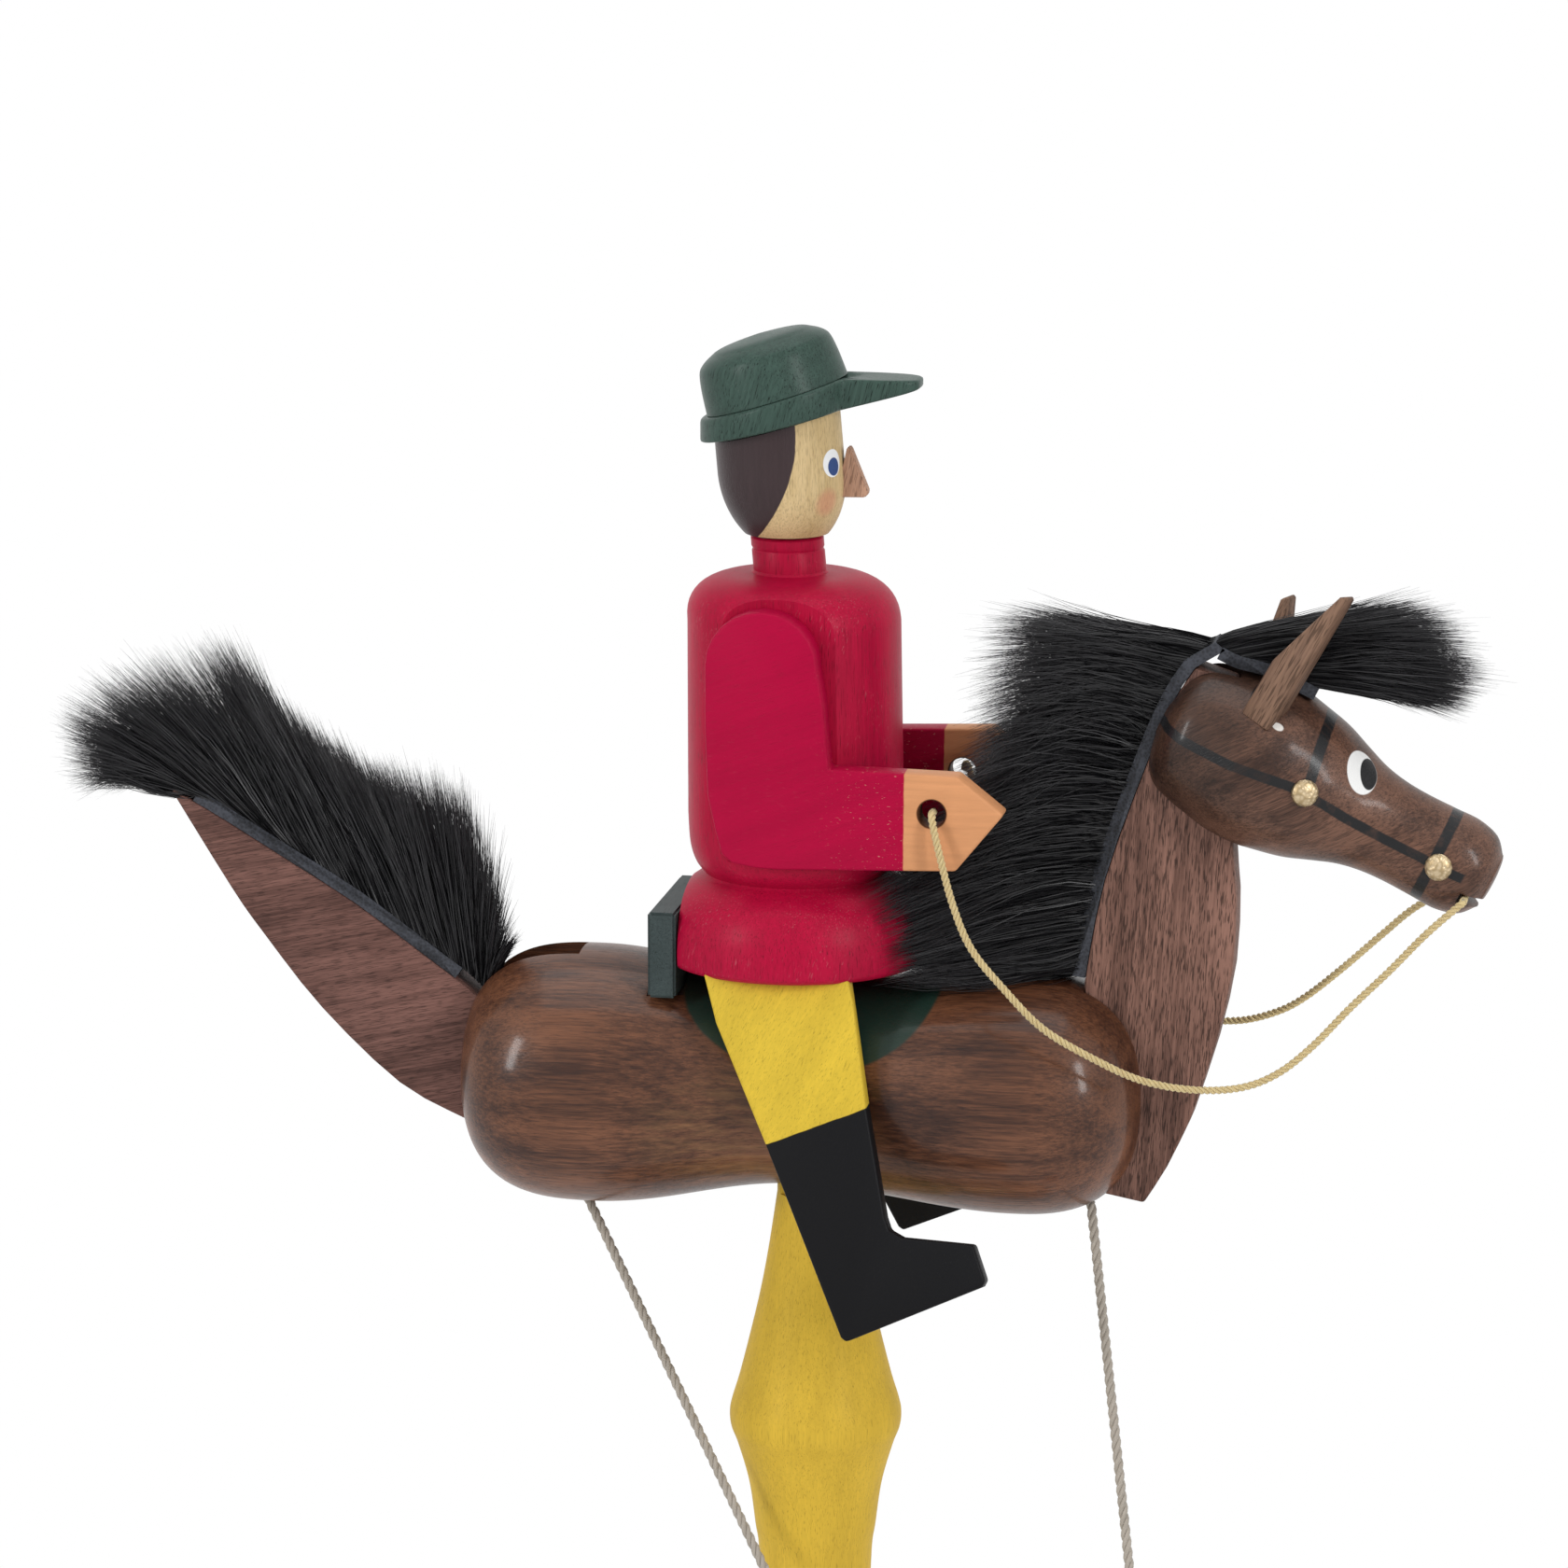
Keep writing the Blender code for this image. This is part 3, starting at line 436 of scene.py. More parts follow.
def twistedMesh(route, radius, pitch):
    # each yarn is a circle carried along a helix about the route; the helix turns once per pitch
    yarns, sides = twist.yarns, twist.sides
    route = np.asarray(route, float)
    gaps = np.linalg.norm(np.diff(route, axis=0), axis=1)
    far = np.concatenate([[0.0], np.cumsum(gaps)])
    count = int(far[-1] / twist.step) + 2
    s = np.linspace(0, far[-1], count)
    line = np.stack([np.interp(s, far, route[:, k]) for k in range(3)], 1)
    tangent = np.gradient(line, axis=0)
    tangent /= np.linalg.norm(tangent, axis=1)[:, None]
    side = np.cross(tangent, twist.across)
    side /= np.linalg.norm(side, axis=1)[:, None]
    other = np.cross(tangent, side)
    yarnRadius = radius * twist.fat
    orbit = radius - yarnRadius
    verts, faces, uvs = [], [], []
    for k in range(yarns):
        turn = 2 * np.pi * (s / pitch + k / yarns)
        out = np.cos(turn)[:, None] * side + np.sin(turn)[:, None] * other
        around = np.cross(tangent, out)
        centre = line + out * orbit
        angle = np.linspace(0, 2 * np.pi, sides, endpoint=False)
        ring = np.cos(angle)[:, None] * out[:, None] + np.sin(angle)[:, None] * around[:, None]
        fat = yarnRadius * np.minimum(1.0, 0.35 + np.minimum(s, s[-1] - s) * 2.0)  # thin at both ends
        tube = centre[:, None] + ring * fat[:, None, None]
        faces.append(gridFaces(count, sides) + k * count * sides)
        verts.append(tube.reshape(-1, 3))
        uv = np.stack(np.broadcast_arrays(s[:, None] / radius, angle[None, :] / (2 * np.pi) + k), -1)
        uvs.append(uv.reshape(-1, 2))
    return pushMesh(np.vstack(verts) * mm, np.vstack(faces), np.vstack(uvs)), far[-1]


def cordLook(name, yarn):
    look = Look(name)
    uv = look.uv()
    strand = look.noise(uv, (1.4, 0.04, 1.0), 3.0)
    tint = look.noise(uv, (8.0, 1.0, 1.0), 2.0)
    tone = (strand * yarn.fibre + tint * 0.5).ramp(0.3, 0.95)
    look.set(baseColor=look.mix(tone, yarn.dark, yarn.light), roughness=0.85, sheen=0.25)
    look.set(normal=look.bump(strand, 0.5, 0.08))
    return look.material


reins = Piece(
    radius=0.8, pitch=3.4, yarn=Piece(light=(0.8, 0.67, 0.36), dark=(0.6, 0.46, 0.22), fibre=0.5),
    near=[(26.3, -20.1, 58.0), (26.6, -24.5, 57.4), (28.2, -26.1, 51.3), (31.0, -26.8, 41.4),
        (34.7, -27.4, 33.0), (40.9, -27.7, 25.6), (48.8, -27.4, 17.7), (58.9, -25.6, 11.5),
        (67.6, -23.0, 7.2), (77.2, -20.0, 5.1), (85.9, -17.0, 5.2), (92.8, -15.0, 7.9), (99.2, -13.4, 13.2),
        (106.0, -12.2, 20.6), (113.3, -11.4, 28.0), (120.2, -11.0, 35.5)],
    far=[(117.1, 11.6, 36.0), (109.9, 12.2, 29.6), (102.6, 13.2, 22.6), (95.3, 14.6, 16.1),
        (89.7, 15.8, 12.5), (82.2, 17.8, 9.8), (74.0, 20.6, 9.2), (64.0, 24.2, 11.6), (53.0, 27.2, 17.6),
        (42.0, 28.0, 26.0), (34.0, 27.6, 36.5), (29.0, 26.6, 47.0), (26.4, 24.6, 57.4), (26.3, 20.1, 58.0)],
    mouth=(126.985, 9.4, 41.611))
strings = Piece(
    radius=1.0, pitch=6.5, yarn=Piece(light=(0.5, 0.45, 0.39), dark=(0.34, 0.3, 0.25), fibre=0.6),
    ball=(94.3, -74.0, -270.8), ballRadius=19.0, seat=7.0, rear=(-46.3, 0.0, -27.387),
    front=(54.8, 0.0, -23.458))


def makeCords():
    x, y, z = reins.mouth
    near = reins.near + [(x, -y, z)]
    far = [(x, y, z)] + reins.far
    route = raised(np.vstack([spline(near, 6), spline(far, 6)]))
    yellow = cordLook("reinYarn", reins.yarn)
    mesh, length = twistedMesh(route, reins.radius, reins.pitch)
    rein = show(mesh, yellow, "reins", "reinsCord")
    grey = cordLook("stringYarn", strings.yarn)
    ball = raised(strings.ball)
    for end in ("rear", "front"):
        start = raised(strings[end])
        line = (ball - start) / np.linalg.norm(ball - start)
        stop = ball - line * (strings.ballRadius - strings.seat)
        path = start + (stop - start) * np.linspace(0, 1, 60)[:, None]
        mesh, length = twistedMesh(path, strings.radius, strings.pitch)
        string = show(mesh, grey, end + "_string", body="pendulum")
        path * mm
    print("cords laid")


makeCords()


def egg(look, spot, centre, size):
    # 1 on the skin of an ellipsoid, less inside, alike on both sides of the toy
    x, y, z = look.parts(spot)
    ways = (x - centre[0], abs(y) - centre[1], z - (centre[2] + axisZ))
    a, b, c = (way / half for way, half in zip(ways, size))
    return a * a + b * b + c * c


def oval(across, up, centre, size):
    # 1 on the edge of an ellipse, less inside
    a, b = (across - centre[0]) / size[0], (up - centre[1]) / size[1]
    return a * a + b * b


# turned horse body with a painted saddle flap
body = Piece(
    drop=1.8, stringHole=1.6, rearX=-43.5, rearRadius=25.6, rearLength=26.6, rearPower=2.9, waistX=-3.0,
    waistRadius=20.3, frontX=40.0, frontRadius=24.2, frontLength=25.2, frontPower=2.6,
    flapPlace=(0.6, 25.0), flapSize=(26.4, 20.4), flapColour=(0.012, 0.03, 0.022), flapRough=0.45,
    wood=Piece(dark=(0.03, 0.0092, 0.0045), light=(0.162, 0.063, 0.03), pore=(3.2, 0.17), poreDepth=0.34,
        rough=0.3, coat=0.28),
    golden=(0.27, 0.135, 0.055), goldenPlace=(-8.0, 20.0, -8.0), goldenSize=(26.0, 30.0, 15.0),
    goldenShare=0.55, lowBright=0.35, drill=(-4.0, 8.0), tailKerf=((-83.0, 0.0, 24.0), (36.5, 5.0, 36.0)),
    neckKerf=((86.65, 0.0, 3.1), (31.5, 5.0, 46.0), -4.7),
    cantleNotch=((-27.65, 0.0, 42.7), (3.4, 40.0, 25.0)), bellySlot=((-1.5, 0.0, -11.0), (10.5, 4.8, 22.0)))


def bodyProfile(extra):
    # raised cosines between waist and bulges, superellipse quarters at the ends
    def quarter(power):
        q = np.sin(np.linspace(0, np.pi / 2, 34))
        return q, (1 - q ** power) ** (1 / power)

    c = np.linspace(0, 1, 40, endpoint=False)
    rise = (1 - np.cos(np.pi * c)) / 2
    (q, end), (p, tip) = quarter(body.rearPower), quarter(body.frontPower)
    rearR, waistR, frontR = (body[key] + extra for key in ("rearRadius", "waistRadius", "frontRadius"))
    rearX, waistX, frontX = body.rearX, body.waistX, body.frontX
    rear = np.c_[rearR * end, rearX - (body.rearLength + extra) * q][::-1]
    back = np.c_[rearR + (waistR - rearR) * rise, rearX + (waistX - rearX) * c]
    fore = np.c_[waistR + (frontR - waistR) * rise, waistX + (frontX - waistX) * c]
    front = np.c_[frontR * tip, frontX + (body.frontLength + extra) * p]
    return np.vstack([rear, back[1:], fore, front])


def saddleFlap(look, spot, colour, rough):
    # golden patch under the rider, painted light from the floor on the underside, then the green flap
    x, z = look.parts(spot)[::2]
    nearGold = egg(look, spot, body.goldenPlace, body.goldenSize).below(0.6, 0.6)
    streaky = look.noise(spot, (30.0, 1.6, 1.6), 3.0, 0.6).ramp(0.3, 0.75)
    colour = look.mix(nearGold * streaky * body.goldenShare, colour, body.golden)
    # painted light: the lower part of the body is made lighter, as if lit from the floor below
    colour = look.shade(colour, 1.0 + z.below(axisZ - 9.0, 9.0) * body.lowBright)
    wave = look.waver(spot, 9.0, 0.9)
    edge = oval(x + wave, z - axisZ + wave, body.flapPlace, body.flapSize).below(1.0, 0.03)
    inside = edge.both(z.ramp(axisZ - 1.0, axisZ))
    green = look.mix(inside, colour, body.flapColour)
    return green, rough * (1 - inside) + inside * body.flapRough


def turnedBody(extra=0.0):
    return turnedMesh(bodyProfile(extra), (0, 0, axisZ - body.drop), 160, (1, 0, 0))


def makeBody():
    brown = stainedWood("bodyStain", body.wood, 0, 1, saddleFlap)
    cuts = [body[key] for key in ("tailKerf", "neckKerf", "cantleNotch", "bellySlot")]
    wide, (low, high) = body.stringHole, body.drill
    drill = [(0.0, low), (wide, low), (wide, high), (0.0, high)]
    for end in ("rear", "front"):
        cuts.append(turnedMesh(drill, raised(strings[end]), 24))
    show(carve(turnedBody(), cuts), brown, "horse_body")
    print("body turned")


makeBody()


# neck and tail boards, ears
board = Piece(
    neck=Piece(dark=(0.085, 0.04, 0.029), light=(0.27, 0.14, 0.105), pore=(2.6, 0.21), poreDepth=0.66,
        rough=0.5, coat=0.0),
    tail=Piece(dark=(0.062, 0.027, 0.021), light=(0.195, 0.094, 0.076), pore=(3.0, 0.19), poreDepth=0.48,
        rough=0.5, coat=0.0),
    ear=Piece(dark=(0.06, 0.032, 0.022), light=(0.24, 0.14, 0.092), pore=(4.0, 0.34), poreDepth=0.5,
        rough=0.55, coat=0.0))


def makeBoards():
    for end, tilt, seed in (("neck", 86, 2), ("tail", 12, 3)):
        carried(end + "_board", stainedWood(end + "Stain", board[end], tilt, seed))
    earWood = stainedWood("earStain", board.ear, 62, 4)
    for side in ("near", "far"):
        carried(side + "_ear", earWood)
    print("boards sawn")


makeBoards()


# turned head: bridle, eyes and mouth
head = Piece(
    x=90.0, z=64.1, pitch=26.0,
    stations=[(6.0, -23.9), (10.5, -22.4), (13.2, -19.9), (14.6, -16.0), (15.5, -11.8), (16.3, -7.0),
        (16.3, -1.5), (15.6, 2.6), (14.3, 8.4), (12.3, 13.7), (10.6, 18.4), (9.7, 23.0), (9.4, 28.0),
        (9.5, 34.0), (9.6, 39.0), (8.4, 43.4), (5.7, 45.9)],
    rear=-24.4, nose=46.8, strap=0.95, cheekEnd=41.0, hump=(4.0, 11.0, 1.9), brow=7.4, browLean=0.19,
    noseBand=34.5, black=(0.009, 0.009, 0.01), strapRough=0.34, eye=(107.1, 7.5, 66.1),
    eyeSize=(3.1, 4.6, 4.6), pupil=(108.3, 6.6, 65.6), pupilSize=(1.65, 3.5, 3.5), white=(0.8, 0.8, 0.79),
    pupilBlack=(0.006, 0.006, 0.007), hole=((-9.9, 13.4), (1.265, 1.549)), holeShadowBlack=(0.004, 0.003, 0.003),
    glue=((-3.7, 10.6), (1.14, 0.592)), glueWhite=(0.75, 0.72, 0.68), rearShade=0.4, mouth=(2.0, -4.0),
    mouthHalf=(7.0, 30.0, 1.2), kerf=((53.3, 0.0, 65.0), (30.0, 5.0, 45.0)),
    wood=Piece(dark=(0.04, 0.0175, 0.011), light=(0.185, 0.09, 0.058), pore=(3.4, 0.2), poreDepth=0.42,
        rough=0.32, coat=0.16))
headCos, headSin = cosSin(head.pitch)


def headPaint(look, spot, colour, rough):
    # u runs along the head to the nose, n across it towards the top
    x, y, z = look.parts(spot)
    dx, dz = x - head.x, z - (head.z + axisZ)
    u, n = dx * headCos - dz * headSin, dx * headSin + dz * headCos
    wave = look.waver(spot, 6.0, 0.6)
    middle, spread, height = head.hump  # the cheek strap rises over the bulge as a bell curve
    far = (u - middle) / spread
    hump = (0.0 - far * far).calc("EXPONENT") * height
    wide = head.strap * 1.15
    cheek = abs(n - hump + wave).below(head.strap).both(u.below(head.cheekEnd, 0.3))
    brow = abs(u - head.brow + n * head.browLean + wave).below(wide).both(n.ramp(1.4, 2.0))
    nose = abs(u - head.noseBand + wave).below(wide)
    thin = look.noise(spot, (3.0, 0.8, 3.0), 3.0).ramp(0.25, 0.5) * 0.25 + 0.75
    strap = cheek.either(brow).either(nose)
    white = egg(look, spot, head.eye, head.eyeSize).below(1.0, 0.07)
    pupil = egg(look, spot, head.pupil, head.pupilSize).below(1.0, 0.08).both(white)
    # the hole at the ear's root is only painted: a black oval for the shade inside a hole
    hole = oval(u, n, *head.hole).below(1.0, 0.3)
    glue = oval(u, n, *head.glue).below(1.0, 0.3).both(y.below(0.0))
    # the rear of the head darker: partly a darker stain, partly painted shade from the mane above it
    rearDark = head.rearShade
    painted = look.shade(colour, rearDark + u.ramp(-18.0, 4.0) * (1 - rearDark))
    coats = [(strap * thin, "black"), (white, "white"), (pupil, "pupilBlack"), (hole, "holeShadowBlack"),
             (glue, "glueWhite")]
    for mask, tone in coats:
        painted = look.mix(mask, painted, head[tone])
    shiny = white.either(strap)
    return painted, rough * (1 - shiny) + shiny * head.strapRough


def headMesh():
    middle = spline(head.stations, 6)
    first, last = head.stations[0], head.stations[-1]
    q = np.linspace(0, np.pi / 2, 8)[:-1]
    rearCap = np.c_[first[0] * np.sin(q), head.rear + (first[1] - head.rear) * (1 - np.cos(q))]
    noseCap = np.c_[last[0] * np.cos(q), last[1] + (head.nose - last[1]) * np.sin(q)][1:]
    profile = np.vstack([rearCap, middle, noseCap, [(0.0, head.nose)]])
    base = (head.x, 0.0, head.z + axisZ)
    mesh = turnedMesh(profile, base, 128, (headCos, 0, -headSin))
    slit, low = head.nose + head.mouth[0], head.mouth[1]
    mouth = (head.x + slit * headCos + low * headSin, 0.0, head.z - slit * headSin + low * headCos)
    return carve(mesh, [(mouth, head.mouthHalf, head.pitch), head.kerf])


brass = Piece(bright=(0.62, 0.5, 0.33), dull=(0.4, 0.3, 0.17), dents=1.6)


def makeHead():
    brown = stainedWood("headStain", head.wood, 26, 5, headPaint)
    show(headMesh(), brown, "horse_head")
    gold = Look("hammeredBrass")
    dents = gold.cells(gold.spot(), "SMOOTH_F1", brass.dents)
    gold.set(baseColor=gold.mix(dents.ramp(0.1, 0.7), brass.bright, brass.dull), metallic=1.0)
    gold.set(roughness=0.42 + dents * 0.15, normal=gold.bump(dents, 0.7, 0.25))
    for node in ("near_cheek_stud", "far_cheek_stud", "near_bit_stud", "far_bit_stud"):
        carried(node, gold.material)
    print("head turned")


makeHead()


# leather strips under the fur; the mane's strip bends forwards over the poll
leather = Piece(
    dark=(0.01, 0.011, 0.015), light=(0.046, 0.05, 0.063), pebbles=1.7, pollFrom=(73.5, 86.2),
    pollBend=(3.9, 0.0, 1.3))


def makeStrips():
    hide = Look("slateLeather")
    spot = hide.spot()
    grain = hide.cells(spot, "F1", leather.pebbles)
    cloud = hide.blobs(spot, 5.0, 4.0, 0.6)
    tone = (cloud * 0.7 + grain * 0.4).ramp(0.3, 0.8)
    hide.set(baseColor=hide.mix(tone, leather.dark, leather.light))
    hide.set(roughness=0.7 + cloud * 0.2, normal=hide.bump(grain + cloud, 0.5, 0.2))
    for place in ("tail", "mane", "forelock"):
        strip = carried(place + "_strip", hide.material)
        if place == "mane":
            moveEnd(strip.data, leather.pollFrom, leather.pollBend)
    print("strips glued")


makeStrips()


# fur: strands that grow from a leather strip, each a tapering ribbon on a parabola
fur = Piece(
    tail=Piece(
        count=18000, seed=11, bow=[1.0] * 15, locks=46, pull=0.45,
        share=[0.0, 0.06, 0.14, 0.27, 0.36, 0.43, 0.5, 0.61, 0.71, 0.81, 0.895, 0.945, 0.97, 0.985, 1.0],
        loose=[1.6, 1.4, 1.4, 1.4, 1.6, 1.4, 1.0, 1.0, 1.0, 1.0, 1.2, 1.8, 2.4, 2.4, 2.4], fan=[0.2] * 15,
        root=[(-125.0, 52.6), (-121.5, 51.8), (-115.5, 48.6), (-106.0, 43.0), (-99.5, 39.3), (-95.5, 36.9),
            (-91.5, 34.4), (-84.5, 29.6), (-78.5, 25.3), (-72.8, 21.1), (-68.5, 17.7), (-66.5, 15.8),
            (-66.0, 15.4), (-65.5, 15.0), (-65.0, 14.5)],
        tip=[(-150.7, 52.5), (-151.9, 60.8), (-151.1, 68.5), (-135.6, 78.4), (-123.3, 82.4), (-117.6, 82.2),
            (-112.6, 74.4), (-100.4, 65.2), (-90.9, 59.7), (-81.9, 58.2), (-73.7, 56.7), (-69.8, 54.8),
            (-65.4, 44.7), (-62.2, 35.3), (-60.2, 25.1)]),
    mane=Piece(
        count=18000, seed=12, bow=[-1.5, 0.0, 1.5, 3.0, 4.0, 4.0, 4.0, 3.0, 1.6, 0.5], locks=40, pull=0.4,
        share=[0.0, 0.1, 0.2, 0.32, 0.45, 0.58, 0.7, 0.8, 0.9, 1.0],
        loose=[1.0, 1.0, 1.0, 1.0, 1.0, 1.2, 1.6, 2.0, 2.4, 2.2],
        fan=[2.6, 3.0, 3.2, 3.0, 2.2, 1.2, 0.6, 0.4, 0.3, 0.3],
        root=[(52.9, 22.9), (53.8, 30.0), (55.3, 37.5), (57.2, 45.0), (59.8, 53.5), (62.7, 62.0),
            (66.0, 70.5), (69.4, 78.4), (73.2, 84.8), (77.4, 88.8)],
        tip=[(18.0, 22.2), (13.5, 24.2), (11.5, 27.5), (10.5, 33.5), (13.0, 42.0), (24.5, 55.0),
            (30.5, 68.0), (31.0, 79.0), (32.0, 89.5), (40.0, 93.0)]),
    forelock=Piece(
        count=8500, seed=13, bow=[0.8, 0.8, 0.6, 0.3], locks=9, pull=0.6, share=[0.0, 0.33, 0.66, 1.0],
        loose=[1.6, 1.5, 1.5, 1.6], fan=[0.25] * 4,
        root=[(75.6, 88.6), (82.0, 87.6), (89.8, 85.2), (97.6, 81.4)],
        tip=[(116.0, 97.8), (125.0, 93.5), (129.3, 84.5), (126.0, 77.0)]))
# half is half a strip's width; the rest says what one strand is
hair = Piece(half=4.3, bends=6, width=0.1, dark=(0.005, 0.005, 0.006), light=(0.022, 0.021, 0.024))


def furMesh(tuft):
    # a strand at its share t: root + (tip - root) * t + bow * 4 t (1 - t) upwards; strands of a lock
    # draw together, and each ends short by a random part, so that the tips thin out
    rng = np.random.default_rng(tuft.seed)
    count, bends, locks = tuft.count, hair.bends, tuft.locks
    share = rng.random(count)

    def follow(values, where):
        return np.stack([np.interp(where, tuft.share, np.asarray(values)[:, k]) for k in range(2)], 1)

    which = np.clip(share * locks + rng.normal(0, 0.5, count), 0, locks - 1).astype(int)
    lean = rng.normal(0, 1, (locks, 4))[which]
    middle = (which + 0.5) / locks
    root = follow(tuft.root, share)
    aim = share + (middle - share) * tuft.pull + lean[:, 0] * 0.012 + rng.normal(0, 0.018, count)
    tip = follow(tuft.tip, np.clip(aim, 0, 1))
    loose, fan, bow = (np.interp(share, tuft.share, tuft[key]) for key in ("loose", "fan", "bow"))
    reach = 0.5 + 0.5 * rng.random(count) ** (0.45 * loose) + lean[:, 1] * 0.022
    reach *= np.where(rng.random(count) < 0.02, 1.06, 1.0)
    across = rng.uniform(-hair.half, hair.half, count)
    start = np.c_[root[:, 0], across, root[:, 1] + axisZ]
    way = (tip - root) * reach[:, None]
    length = np.linalg.norm(way, axis=1)
    drift = across * fan + lean[:, 2] * 0.6 + rng.normal(0, 0.8, count)
    run = np.c_[way[:, 0], drift, way[:, 1]]
    t = np.linspace(0, 1, bends)[None, :, None]
    lift = np.c_[np.zeros(count), lean[:, 3] * 0.3, bow * (0.5 + rng.random(count))]
    wave = np.c_[np.zeros(count), lean[:, 1] * 0.4, lean[:, 3] * 0.5]
    wisp = rng.normal(0, 1.0, (count, 3)) * (loose * length / 42.0)[:, None]
    line = start[:, None] + run[:, None] * t + lift[:, None] * 4 * t * (1 - t) + wisp[:, None] * t ** 2
    line += wave[:, None] * np.sin(2 * np.pi * t)
    flat = np.cross(run, rng.normal(0, 1, (count, 3)))
    flat /= np.linalg.norm(flat, axis=1)[:, None]
    width = hair.width * (1 - t ** 1.8 * 0.9)
    left, right = line - flat[:, None] * width, line + flat[:, None] * width
    verts = np.stack([left, right], 2).reshape(-1, 3)
    step = np.arange(bends - 1)[None, :] * 2 + np.arange(count)[:, None] * bends * 2
    quads = np.stack([step, step + 1, step + 3, step + 2], -1).reshape(-1, 4)
    uv = np.stack(np.broadcast_arrays(rng.random(count)[:, None, None], np.repeat(t, 2, 2)), -1)
    return pushMesh(verts * mm, quads, uv.reshape(-1, 2))


def makeFur():
    black = Look("blackFur")
    strand, along = black.parts(black.uv())[:2]
    tone = (strand * 0.6 + along * 0.5).ramp(0.15, 1.1)
    black.set(baseColor=black.mix(tone, hair.dark, hair.light), roughness=0.4, specular=0.4)
    for tuft in fur:
        show(furMesh(fur[tuft]), black.material, tuft + "_hair", tuft + "Fur")
    print("fur grown")


makeFur()


# rider: turned coat, head with painted face, cap; profiles are radius and height over the seat
rider = Piece(
    x=-4.0, seat=22.8, boss=11.0,
    skirt=[(25.4, 0.9), (26.1, 1.5), (26.4, 2.4), (26.4, 5.0), (25.6, 9.6), (23.7, 13.4), (21.4, 15.6),
        (18.2, 17.8)],
    waist=[(17.9, 18.2), (19.6, 20.4), (20.7, 24.0), (21.1, 30.0)], trunk=20.8, top=77.2,
    legFrom=(-30.0, 18.0), legRise=(0.0, 0.0, 2.2), handFrom=(20.0, 64.5), handTrim=(-1.3, 0.0, -1.4),
    round=9.2, square=0.84, chest=64.0, lean=5.0, collar=7.1, collarTop=84.6, shoulderWide=1.3,
    bossFoot=-6.0, collarFoot=[(0.4, 0.2), (0.0, 0.7)],
    collarRim=[(0.0, -3.0), (-0.25, -2.5), (0.0, -2.0), (0.0, -0.4), (-0.4, 0.0)], flat=(17.7, 23.2),
    flatHalf=(40.0, 20.0, 50.0),
    coat=Piece(colour=(0.4, 0.0035, 0.036), under=(0.3, 0.1, 0.08), show=0.5, chips=0.25, scuff=0.42,
        rough=0.42, coat=0.03),
    sleeve=Piece(colour=(0.385, 0.0012, 0.038), under=(0.3, 0.1, 0.08), show=0.1, chips=0.2, scuff=0.08,
        rough=0.46, coat=0.0),
    trousers=Piece(colour=(0.66, 0.46, 0.045), under=(0.5, 0.38, 0.2), show=0.3, chips=0.0, scuff=0.0,
        rough=0.55, coat=0.03),
    green=Piece(colour=(0.044, 0.078, 0.064), under=(0.09, 0.09, 0.08), show=0.85, chips=0.2, scuff=0.22,
        rough=0.36, coat=0.06),
    saddle=Piece(colour=(0.046, 0.062, 0.062), under=(0.09, 0.09, 0.08), show=0.6, chips=0.2, scuff=0.15,
        rough=0.45, coat=0.0),
    hand=(0.6, 0.28, 0.13), cuff=(20.7, 21.0), farCuff=1.8, cuffWear=0.6, bareWood=(0.52, 0.24, 0.19),
    hole=((26.3, 58.0), (2.933, 2.933)), holeBrown=(0.1, 0.04, 0.02), boot=(0.0065, 0.0065, 0.0075),
    bootSlope=0.392, bootTop=-5.2, farBoot=3.4, bootRough=0.5)
face = Piece(
    radius=12.4, centre=96.8, chin=15.6, straight=14.0, chinGap=0.35, eye=(4.0, 5.4, 122.5), eyeSize=2.7,
    iris=(4.25, 5.15, 121.8), irisSize=1.75, cheek=(3.2, 6.7, 115.0), cheekSize=3.4,
    white=(0.78, 0.79, 0.8), irisBlue=(0.028, 0.062, 0.19), blush=(0.56, 0.2, 0.13),
    hair=(0.04, 0.025, 0.027), hairFrom=126.0, hairCurve=0.0245, hairLine=-2.3, hairRough=0.36,
    wood=Piece(dark=(0.47, 0.335, 0.155), light=(0.64, 0.48, 0.255), pore=(1.8, 0.2), poreDepth=0.22,
        rough=0.45, coat=0.03),
    nose=Piece(dark=(0.36, 0.2, 0.13), light=(0.52, 0.31, 0.21), pore=(3.0, 0.3), poreDepth=0.4, rough=0.55,
        coat=0.0),
    noseOutline=[(6.1, 124.8), (6.5, 125.1), (6.9, 124.7), (10.25, 116.5), (10.1, 115.7), (9.6, 115.3),
        (4.2, 115.2), (4.4, 117.0), (5.3, 121.0)],
    noseThick=2.8, noseEdge=0.15)
cap = Piece(
    x=-7.7, top=134.7, slope=17.3, radius=14.2, height=12.4, under=129.3, underSlope=15.5, brim=14.9,
    visor=(28.2, 5.8), blunt=5.0, fillet=26.0, level=13.1, droop=0.15, edgeSlope=14.8,
    shares=[0.0, 0.3, 0.6, 0.8, 0.9], insets=[0.9, 0.4, 0.1, 0.0], drops=[0.0, 0.1, 0.35, 0.8],
    fullEdge=2.6, lowEdge=0.8, crown=[(0.4, 0.4), (1.0, 0.66), (2.0, 0.77), (3.8, 0.86), (6.6, 0.94)])
glueGap = 0.3  # between glued pieces
cantle = Piece(front=-24.9, thick=5.5, half=17.0, foot=18.0, top=35.0, round=0.5)
riderBase = (rider.x, 0.0, rider.seat + axisZ)
riderChest = (rider.x, 0.0, rider.seat + rider.chest + axisZ)


